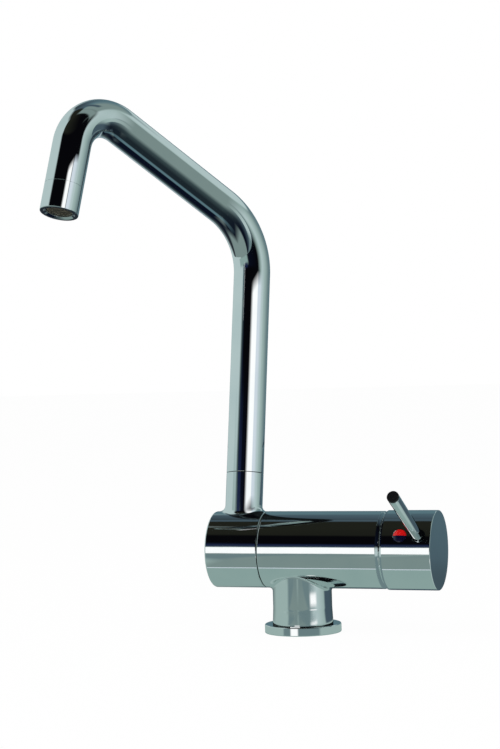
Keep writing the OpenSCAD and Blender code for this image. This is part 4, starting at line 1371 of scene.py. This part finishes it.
def stage_object(name, mesh, finish):
    """Adds a thing that isn't part of the tap."""
    mesh.materials.append(finish)
    thing = bpy.data.objects.new(name, mesh)
    bpy.context.scene.collection.objects.link(thing)
    thing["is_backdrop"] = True
    return thing


STUDIO_R = 6.0  # radius of the surroundings that the chrome mirrors, and half width of the table
NEAR_R = 0.016  # radius of the near sheets round the spout
NEAR_SLANT = 0.009  # how much sooner these sheets end at their darker side
SHEET_OVER = 0.001  # how far a near sheet reaches past its piece
FLANGE_GAP = 0.0022  # distance of the flange's sheet from its side
DOME_SHEET_R = 0.0253  # radius of the dome ring's sheet
TABLE_LIFT = 0.0002  # height of the mirrored table
UNDERLAY_H = 0.115  # height of the spout's underlay
SECOND = (1.4, 1.6)  # borders between first and second reflections, in surfaces met

# Plain tones that the mirrored surroundings are put together from
BLACK = (0.002, 0.002, 0.003)
BLUE_BLACK = (0.003, 0.005, 0.014)
BROWN_BLACK = (0.014, 0.015, 0.011)
NAVY = (0.012, 0.020, 0.060)
INK = (0.012, 0.020, 0.026)
SLATE_DARK = (0.040, 0.065, 0.070)
LINE = (0.070, 0.075, 0.090)
SLATE = (0.060, 0.095, 0.120)
SLATE_PALE = (0.100, 0.180, 0.210)
MID_DARK = (0.150, 0.220, 0.230)
MID = (0.200, 0.270, 0.260)
LIT = (0.260, 0.370, 0.350)
PALE_DIM = (0.330, 0.440, 0.420)
PALE = (0.460, 0.570, 0.570)
PALE_RIGHT = (0.660, 0.730, 0.800)
WHITE = (1.060, 1.060, 1.060)

# Tones round the tap, from behind (-180) over the left (-90), the front (0) and the right (90)
HORIZON = (
    (-180, SLATE_PALE), (-155, SLATE_PALE), (-140, PALE), (-45, PALE), (-34, SLATE_DARK),
    (-22, BLUE_BLACK), (60, BLACK), (80, PALE_DIM), (90, PALE), (115, PALE_DIM), (145, MID_DARK),
    (180, SLATE_PALE),
)
OVERHEAD = (
    (-180, SLATE_PALE), (-150, SLATE), (-105, BROWN_BLACK), (-40, BROWN_BLACK), (50, BLACK),
    (86, BLACK), (93, MID), (140, MID), (180, SLATE_PALE),
)


# Directions and lifts in the surroundings, in degrees. A pair is where a share is nought and where
# it is one, and three numbers are the low end, the high end and the softness.
LEFT_ZONE = ((-44, -56), (-135, -115))
LEFT_RAISE = 20.0  # how much higher the overhead tones begin on the left
AHEAD_ZONE = (-50, 64, 10)
AHEAD_DROP = 7.0  # how much lower they begin in front
OVERHEAD_LIFT = (39, 47)
DARK_LEFT = (-53, -44)
DARK_RIGHT = (93, 88)
DARK_LIFT = ((17, 22), (47, 42))
DARK_LEAN = 24.0  # how much further right the dark zone begins low down
LEAN_LIFT = (33, 23)
ARCH_OVER = (80, 90, 3)
ARCH_ASIDE = (-40, 10)
ARCH_LIFT = (30, 42)
CROWN_OVER = (98, 104.5, 2)
CROWN_LIFT = (58, 64)
RIM_LIFT = (27, 38, 2)
RIM_RIGHT = (110, 120)
RIM_REAR = (172, 176)
DIMMED = 0.97  # share that second reflections lose

# Patches of the surroundings, as the tone, its strength, and the low end, the high end and the
# softness of the lift and of the direction, in degrees
PATCHES = (
    (LIT, 1.0, (-60, 14, 6), (-60, -4, 8)),
    (NAVY, 0.9, (11.5, 21, 4), (-28, -8, 4)),
    (SLATE, 1.0, (-20, 2, 6), (58, 92, 6)),
)


def compass(made, vector):
    """Direction of a vector round the upright in degrees, with the front at nought, and its height."""
    across, depth, height = made.parts(vector)
    return across.angle_from(depth * -1.0), height


def ramp(made, aside, stops):
    """Tone at an angle on a run of stops."""
    low, high = stops[0][0], stops[-1][0]
    spread_stops = [((at - low) / (high - low), tint) for at, tint in stops]
    sockets = {"Fac": made.stretch(aside, low, high)}
    return made.node("ShaderNodeValToRGB", {"stops": spread_stops}, sockets).outputs["Color"]


def only_mirrored(card):
    """Lets a card show in polished metal only."""
    card.visible_camera = False
    card.visible_diffuse = False
    card.visible_shadow = False
    card.visible_transmission = False
    card.visible_volume_scatter = False


def sheet_mesh(name, points, columns):
    """Mesh of a sheet of points in rows."""
    faces = []
    for row in range(len(points) // columns - 1):
        for column in range(columns - 1):
            first = row * columns + column
            faces.append((first, first + 1, first + columns + 1, first + columns))
    mesh = bpy.data.meshes.new(name)
    mesh.from_pydata(points, [], faces)
    return mesh


def stage_sheet(name, x0, x1, y0, y1, height, finish):
    """Level sheet that isn't part of the tap."""
    points = [(x0, y0, height), (x1, y0, height), (x0, y1, height), (x1, y1, height)]
    return stage_object(name, sheet_mesh(name, points, 2), finish)


def sky_mesh():
    """Sphere of points in rows from below to above."""
    step = 5
    turns = range(0, 361, step)
    points = []
    for lift in range(-90, 91, step):
        out, up = math.cos(lift * DEGREE) * STUDIO_R, math.sin(lift * DEGREE) * STUDIO_R
        points += [(out * math.cos(turn * DEGREE), out * math.sin(turn * DEGREE), up) for turn in turns]
    return sheet_mesh("surroundings", points, len(turns))


def sky_tones(made, aside, lift):
    """Level tones below and overhead tones above, whose border is higher on the left."""
    left = LEFT_RAISE * made.within(aside, *LEFT_ZONE)
    ahead = AHEAD_DROP * made.band(aside, *AHEAD_ZONE)
    high = made.stretch(lift - left + ahead, *OVERHEAD_LIFT)
    return made.blend(high, ramp(made, aside, HORIZON), ramp(made, aside, OVERHEAD))


def dark_ahead(made, aside, lift):
    """Share of the dark zone in front, whose left border leans further left higher up."""
    lean = DARK_LEAN * made.stretch(lift, *LEAN_LIFT)
    wide = made.stretch(aside - lean, *DARK_LEFT) * made.stretch(aside, *DARK_RIGHT)
    return wide * made.within(lift, *DARK_LIFT)


def with_arches(made, tint, aside, lift, over):
    """Adds the two bars that cross overhead, by the angle from the front over the top."""
    arch = made.band(over, *ARCH_OVER) * made.stretch(aside, *ARCH_ASIDE)
    tint = made.blend(arch * made.stretch(lift, *ARCH_LIFT), tint, MID)
    crown = made.band(over, *CROWN_OVER) * made.stretch(lift, *CROWN_LIFT)
    return made.blend(crown, tint, SLATE)


def rear_rim(made, aside, lift):
    """Share of the pale rim behind the tap."""
    right = made.stretch(aside, *RIM_RIGHT)
    rear = made.stretch(aside.unsigned(), *RIM_REAR)
    return made.band(lift, *RIM_LIFT) * right.largest(rear)


def make_surroundings():
    """Sphere round the tap whose tones its chrome mirrors. Second reflections of it are nearly black."""
    made = finish_named("surroundings")
    aim = made.node("ShaderNodeVectorMath", {"operation": "NORMALIZE"}, {0: made.place()}).outputs[0]
    aside, up = compass(made, aim)
    lift = up.slope_angle()
    over = up.angle_from(made.parts(aim)[1] * -1.0)
    tint = sky_tones(made, aside, lift)
    for tone, strength, lifts, asides in PATCHES:
        tint = made.blend(strength * made.band(lift, *lifts) * made.band(aside, *asides), tint, tone)
    tint = made.blend(dark_ahead(made, aside, lift), tint, BLACK)
    tint = with_arches(made, tint, aside, lift, over)
    tint = made.blend(rear_rim(made, aside, lift), tint, PALE)
    tint = made.blend(DIMMED * made.stretch(made.path("Ray Depth"), *SECOND), tint, BLACK)
    ball = stage_object("surroundings", sky_mesh(), made.output(made.light(tint)))
    ball.location = ON_AXIS
    only_mirrored(ball)


# Tones of the table round the tap, as the lower parts mirror it at a hand's width
TABLE = (
    (-180, SLATE_DARK), (-150, SLATE), (-125, MID), (-100, PALE_DIM), (-42, PALE_DIM), (-34, MID_DARK),
    (-5, MID_DARK), (0, PALE_DIM), (5, MID_DARK), (40, MID_DARK), (72, PALE), (104, PALE_DIM),
    (112, SLATE), (140, SLATE), (180, SLATE_DARK),
)
# Tones of the table further out
TABLE_FAR = (
    (-180, SLATE_PALE), (-150, SLATE_PALE), (-130, PALE), (-52, PALE), (-44, MID), (-4, MID),
    (6, MID_DARK), (44, MID_DARK), (60, PALE), (104, PALE_DIM), (116, SLATE), (150, SLATE),
    (180, SLATE_PALE),
)


# Places on the mirrored table in metres, given like the directions above
FAR_REACH = (0.3, 0.5)
WHITE_REACH = (0.165, 0.235, 0.03)
WHITE_ASIDE = (46, 70, 8)
MAT_ACROSS = (-0.085, 0.095, 0.02)
MAT_DEPTH = ((0.035, 0.025), (-0.44, -0.16))
MAT_FRONT = (-0.0525, -0.0545)
MAT_LINE = (-0.0555, -0.0525, 0.0006)


def mat_tones(made, depth):
    """Mat round the tap, a little darker in front of the pale line that crosses it."""
    mat = made.blend(made.stretch(depth, *MAT_FRONT), LIT, MID)
    return made.blend(made.band(depth, *MAT_LINE), mat, PALE_RIGHT)


def make_table():
    """What the chrome mirrors below: a mat round the tap on a darker table."""
    made = finish_named("mirrored_table")
    aside, _ = compass(made, made.place())
    across, depth, _ = made.parts(made.place())
    reach = made.measure("LENGTH", made.place())
    outwards = made.stretch(reach, *FAR_REACH)
    tint = made.blend(outwards, ramp(made, aside, TABLE), ramp(made, aside, TABLE_FAR))
    whitened = made.band(reach, *WHITE_REACH) * made.band(aside, *WHITE_ASIDE)
    tint = made.blend(whitened, tint, WHITE)
    inside = made.band(across, *MAT_ACROSS) * made.within(depth, *MAT_DEPTH)
    finish = made.output(made.light(made.blend(inside, tint, mat_tones(made, depth))))
    card = stage_sheet("mirrored_table", -STUDIO_R, STUDIO_R, -STUDIO_R, STUDIO_R, TABLE_LIFT, finish)
    only_mirrored(card)


# Places on the spout's underlay in metres, each as a pair across and a pair in depth
UNDERLAY_RIGHT = (0.14, 0.42)
UNDERLAY_LEFT = ((-0.12, -0.20), (0.04, -0.02))
UNDERLAY_FRONT = ((0.06, 0.02), (-0.10, -0.18))
UNDERLAY_REAR = ((-0.05, -0.12), (0.02, 0.42))
OPEN_REAR = ((-0.12, -0.05), (0.03, 0.20))
HOLE_REACH = (0.10, 0.05)
HOLE_DEPTH = (-0.02, 0.01)


def underlay_tones(made, across, depth):
    """Dark sheet that is lit on the left and in front, and turns pale towards the left rear."""
    tint = made.blend(made.stretch(across, *UNDERLAY_RIGHT), BLUE_BLACK, SLATE)
    left, front, rear = (
        (made.stretch(across, *wide), made.stretch(depth, *deep))
        for wide, deep in (UNDERLAY_LEFT, UNDERLAY_FRONT, UNDERLAY_REAR)
    )
    tint = made.blend((left[0] * left[1]).largest(front[0] * front[1]), tint, MID)
    return made.blend(rear[0] * rear[1] * rear[1], tint, PALE)


def make_underlay():
    """Dark table that the spout mirrors from above, which lets what comes from below through."""
    made = finish_named("dark_underlay")
    across, depth, _ = made.parts(made.place())
    tint = underlay_tones(made, across, depth)
    middle = (ON_AXIS.x + NECK_X, 0, UNDERLAY_H)
    away = made.measure("DISTANCE", made.place(), middle)
    behind = made.stretch(across, *OPEN_REAR[0]) * made.stretch(depth, *OPEN_REAR[1])
    hole = made.stretch(away, *HOLE_REACH) * made.stretch(depth, *HOLE_DEPTH)
    finish = one_sided(made, tint, (1.0 - hole) * (1.0 - behind))
    ends = {"x0": -1.2, "x1": 0.5, "y0": -2.4, "y1": UNDERLAY_REAR[1][1]}
    only_mirrored(stage_sheet("dark_underlay", **ends, height=UNDERLAY_H, finish=finish))


def one_sided(made, tint, density):
    """Ends a stage material as light from a sheet's front. Its back lets everything through."""
    clear = made.node("ShaderNodeBsdfTransparent", {}, {}).outputs["BSDF"]
    back = made.number("ShaderNodeNewGeometry", {}, {}, "Backfacing")
    return made.output(made.mix(back.largest(1.0 - density), made.light(tint), clear))


# Tones that the spout's sloping part mirrors, by the angle round it from its right-hand side up
UNDER_SLOPE = (
    (-139, PALE_RIGHT), (-128, MID_DARK), (-118, SLATE_DARK), (-104, BLUE_BLACK), (-80, BLUE_BLACK),
    (-77, SLATE_PALE), (-70, SLATE_PALE), (-66, INK), (-50, INK), (-35, SLATE_DARK),
    (-22, MID), (20, MID),
)
# Tones that the dome ring mirrors, by the angle round the barrel from its front up
ROUND_DOME = (
    (-90, MID_DARK), (-6, MID_DARK), (-3, PALE), (7, PALE), (11, BLUE_BLACK), (46, BLACK), (64, SLATE),
    (90, SLATE_PALE),
)
# Tones that the flange's side mirrors, by the angle round it from the front to the right
ROUND_FLANGE = (
    (-180, MID_DARK), (-100, PALE_DIM), (-17, PALE_DIM), (-14, MID_DARK), (-4, MID_DARK), (-2, WHITE),
    (8, WHITE), (10, MID_DARK), (43, MID_DARK), (47, PALE_DIM), (110, PALE_DIM), (180, MID_DARK),
)
# Tones that the right-hand side of the upright tube mirrors, by the angle from its front
RIGHT_OF_TUBE = (
    (15, BLACK), (19, BLACK), (28, WHITE), (44, WHITE), (47, PALE_RIGHT), (55, PALE_RIGHT),
    (66, PALE), (72, PALE),
)
# Tones that the right-hand side of the spout's last part mirrors, by the angle from its right
RIGHT_OF_DROP = (
    (-29, BLACK), (-23, WHITE), (-14, WHITE), (-12, LINE), (-10, PALE_RIGHT), (-2, PALE_RIGHT),
    (8, PALE), (14, PALE),
)


def trough(name, stops, spot, radius, start, end, soft, slant=0.0):
    """Part of a round sheet along local Z, whose inside glows by the angle from local -Y to +X.

    It fades out over the soft length at both ends, on the first stop's side by slant sooner."""
    low, high = stops[0][0], stops[-1][0]
    steps = 48
    points = []
    for height in (end, start):
        for step in range(steps + 1):
            turn = (low + (high - low) * step / steps) * DEGREE
            points.append((radius * math.sin(turn), -radius * math.cos(turn), height))
    made = finish_named(name)
    aside, height = compass(made, made.place())
    level = height + slant * made.stretch(aside, (low + high) / 2, low)
    first_seen = 1.0 - made.stretch(made.path("Ray Depth"), *SECOND)
    density = made.band(level, start + soft / 2, end - soft / 2, soft) * first_seen
    finish = one_sided(made, ramp(made, aside, stops), density)
    sheet = stage_object(name, sheet_mesh(name, points, steps + 1), finish)
    sheet.matrix_world = spot
    only_mirrored(sheet)


def make_spout_troughs():
    """What the spout mirrors close by: beside its last part, beside the tube and under its slope."""
    places, outlet, drop = spout_path(bpy.context.scene.tap_spout, 0, 0)
    flipped = outlet @ Matrix.Rotation(math.pi, 4, "X")
    ends = {"start": -drop - 0.012, "end": -0.008}
    trough("right_of_drop", RIGHT_OF_DROP, flipped, NEAR_R, **ends, soft=0.006, slant=NEAR_SLANT)
    ends = {"start": 0.024, "end": 0.180}
    trough("right_of_tube", RIGHT_OF_TUBE, NECK_UP, NEAR_R, **ends, soft=0.010, slant=NEAR_SLANT)
    slope, top = places[BEND_STEPS + 1 : BEND_STEPS + 3]
    length = (top.translation - slope.translation).length
    spot = slope @ Matrix.Rotation(math.pi, 4, "Z")
    trough("under_slope", UNDER_SLOPE, spot, NEAR_R, start=-0.014, end=length + 0.010, soft=0.016)


def make_troughs():
    """What the spout, the dome ring and the flange's side mirror close by."""
    make_spout_troughs()
    bar = place(ON_AXIS, (0, 0, 1), (0, 1, 0), (-1, 0, 0))
    trough("round_dome", ROUND_DOME, bar, DOME_SHEET_R, -CAP_X0 - SHEET_OVER, -BODY_X1, soft=0.0001)
    ends = {"start": -SHEET_OVER, "end": FLANGE_T + SHEET_OVER}
    trough("round_flange", ROUND_FLANGE, UPRIGHT, FLANGE_R + FLANGE_GAP, **ends, soft=0.001)


def make_streak():
    """Upright white card in front, which the barrel mirrors as a bright line along it."""
    left, right, depth, low, high = -0.19, 0.03, -0.30, 0.010, UNDERLAY_H - 0.0001
    lit_low, lit_high, soft = 0.018, 0.111, 0.007
    made = finish_named("white_streak")
    density = made.band(made.parts(made.place())[2], lit_low, lit_high, soft)
    points = [(left, depth, high), (right, depth, high), (left, depth, low), (right, depth, low)]
    mesh = sheet_mesh("white_streak", points, 2)
    only_mirrored(stage_object("white_streak", mesh, one_sided(made, WHITE, density)))


def make_world():
    """White surroundings, a little weaker on matt surfaces than in the picture."""
    studio = bpy.context.scene.tap_studio
    world = bpy.data.worlds.new("white_studio")
    bpy.context.scene.world = world
    made = Finish(world)
    strength = studio.ambient + (1 - studio.ambient) * seen_directly(made)
    sky = made.node("ShaderNodeBackground", {}, {"Color": opaque((1, 1, 1)), "Strength": strength})
    made.output(sky.outputs["Background"])


def seen_directly(made):
    """One for rays from the camera and for those that metal or glass sends on."""
    camera, glossy = made.path("Is Camera Ray"), made.path("Is Glossy Ray")
    return camera.largest(glossy).largest(made.path("Is Transmission Ray"))


def make_floor():
    """Pale floor that looks white and keeps the tap's shadow."""
    studio = bpy.context.scene.tap_studio
    made = finish_named("pale_floor")
    dull = tuple(0.985 * value for value in studio.floor)
    tint = made.blend(made.noise(scale=6.0, detail=2.0), tuple(studio.floor), dull)
    paint = made.node("ShaderNodeBsdfDiffuse", {}, {"Color": tint}).outputs["BSDF"]
    finish = made.output(made.mix(0.97 * seen_directly(made), paint, made.light((1, 1, 1))))
    reach = 40.0
    stage_sheet("floor", -reach, reach, -reach, reach, 0, finish)


def make_lamp(name, spot, aim, width, power):
    """Soft square lamp that points at a place and doesn't show in the chrome."""
    data = bpy.data.lights.new(name, "AREA")
    data.size = width
    data.energy = power
    lamp = bpy.data.objects.new(name, data)
    lamp.location = spot
    lamp.rotation_euler = (Vector(aim) - Vector(spot)).to_track_quat("-Z", "Y").to_euler()
    lamp.visible_glossy = False
    bpy.context.scene.collection.objects.link(lamp)


def make_camera():
    """Camera at the photograph's place and angle."""
    studio = bpy.context.scene.tap_studio
    ahead = Vector((
        -math.sin(studio.yaw) * math.cos(studio.pitch),
        math.cos(studio.yaw) * math.cos(studio.pitch),
        math.sin(studio.pitch),
    ))
    right = Vector((math.cos(studio.yaw), math.sin(studio.yaw), 0))
    up = right.cross(ahead)
    tilted_right = right * math.cos(studio.roll) + up * math.sin(studio.roll)
    tilted_up = up * math.cos(studio.roll) - right * math.sin(studio.roll)
    data = bpy.data.cameras.new("camera")
    data.sensor_width = 36.0
    data.lens = studio.focal * data.sensor_width / PHOTO_HEIGHT
    data.clip_start = 0.05
    data.clip_end = 100.0
    camera = bpy.data.objects.new("camera", data)
    spot = Vector((studio.camera_x, studio.camera_y, studio.camera_z))
    camera.matrix_world = place(spot, tilted_right, tilted_up, -ahead)
    bpy.context.scene.collection.objects.link(camera)
    bpy.context.scene.camera = camera


def make_studio():
    """Floor, cards, lamps, world, camera and the plain view transform."""
    make_camera()
    make_world()
    make_floor()
    make_surroundings()
    make_table()
    make_underlay()
    make_troughs()
    make_streak()
    middle = (0, 0, 0.12)
    make_lamp("key_lamp", spot=(-0.9, -1.1, 1.5), aim=middle, width=1.2, power=14.0)
    make_lamp("fill_lamp", spot=(1.3, -0.9, 1.2), aim=middle, width=1.4, power=9.0)
    bpy.context.scene.view_settings.view_transform = "Standard"


class TAP_OT_body(bpy.types.Operator):
    """Builds the barrel with its stem, and the flange"""

    bl_idname = "tap.body"
    bl_label = "Body and flange"

    def execute(self, context):
        make_body()
        make_flange()
        return {"FINISHED"}


class TAP_OT_head(bpy.types.Operator):
    """Builds the folding head with its neck, and the cover in its end"""

    bl_idname = "tap.head"
    bl_label = "Folding head"

    def execute(self, context):
        make_head()
        make_end_cover()
        return {"FINISHED"}


class TAP_OT_spout(bpy.types.Operator):
    """Builds the bent spout tube"""

    bl_idname = "tap.spout"
    bl_label = "Spout"

    def execute(self, context):
        make_spout()
        return {"FINISHED"}


class TAP_OT_outlet(bpy.types.Operator):
    """Builds the sleeve, the gauze and the aerator of the outlet"""

    bl_idname = "tap.outlet"
    bl_label = "Outlet"

    def execute(self, context):
        make_outlet()
        return {"FINISHED"}


class TAP_OT_cap(bpy.types.Operator):
    """Builds the dome ring and the handle's cap"""

    bl_idname = "tap.cap"
    bl_label = "Dome ring and cap"

    def execute(self, context):
        make_dome_ring()
        make_cap()
        return {"FINISHED"}


class TAP_OT_lever(bpy.types.Operator):
    """Builds the lever with the plug in its tip, and the index plug"""

    bl_idname = "tap.lever"
    bl_label = "Lever and index plug"

    def execute(self, context):
        make_lever()
        make_index()
        return {"FINISHED"}


class TAP_OT_inner_parts(bpy.types.Operator):
    """Gives the inner pieces their finishes"""

    bl_idname = "tap.inner_parts"
    bl_label = "Inner parts"

    def execute(self, context):
        dress_inner_parts()
        return {"FINISHED"}


class TAP_OT_studio(bpy.types.Operator):
    """Sets up the camera, the floor, the cards, the world and the lamps"""

    bl_idname = "tap.studio"
    bl_label = "Studio"

    def execute(self, context):
        make_studio()
        return {"FINISHED"}


OPERATORS = (
    TAP_OT_studio, TAP_OT_body, TAP_OT_head, TAP_OT_spout, TAP_OT_outlet, TAP_OT_cap, TAP_OT_lever,
    TAP_OT_inner_parts,
)
GROUPS = {
    "tap_body": TapBodySizes,
    "tap_head": TapHeadSizes,
    "tap_spout": TapSpoutSizes,
    "tap_handle": TapHandleSizes,
    "tap_finishes": TapFinishes,
    "tap_studio": TapStudio,
}


class TAP_PT_sidebar(bpy.types.Panel):
    """Lists the tap's steps and its sizes"""

    bl_idname = "TAP_PT_sidebar"
    bl_label = "Fold-down mixer tap"
    bl_space_type = "VIEW_3D"
    bl_region_type = "UI"
    bl_category = "Tap"

    def draw(self, context):
        for operator in OPERATORS:
            self.layout.operator(operator.bl_idname)
        for name, group in GROUPS.items():
            box = self.layout.box()
            box.label(text=group.__doc__)
            for setting in group.__annotations__:
                box.prop(getattr(context.scene, name), setting)


def register():
    """Registers the groups, the operators and the panel."""
    for name, group in GROUPS.items():
        bpy.utils.register_class(group)
        setattr(bpy.types.Scene, name, PointerProperty(type=group))
    for operator in OPERATORS:
        bpy.utils.register_class(operator)
    bpy.utils.register_class(TAP_PT_sidebar)


def unregister():
    """Takes back what register did."""
    bpy.utils.unregister_class(TAP_PT_sidebar)
    for operator in reversed(OPERATORS):
        bpy.utils.unregister_class(operator)
    for name, group in GROUPS.items():
        delattr(bpy.types.Scene, name)
        bpy.utils.unregister_class(group)


def main():
    register()
    bpy.ops.tap.studio()
    bpy.ops.tap.body()
    bpy.ops.tap.head()
    bpy.ops.tap.spout()
    bpy.ops.tap.outlet()
    bpy.ops.tap.cap()
    bpy.ops.tap.lever()
    bpy.ops.tap.inner_parts()
    bpy.context.view_layer.update()
    boxes = {"cad": cad_box, "visual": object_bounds()}
    {name: [list(corner) for corner in box] for name, box in boxes.items()}


if __name__ == "__main__":
    main()
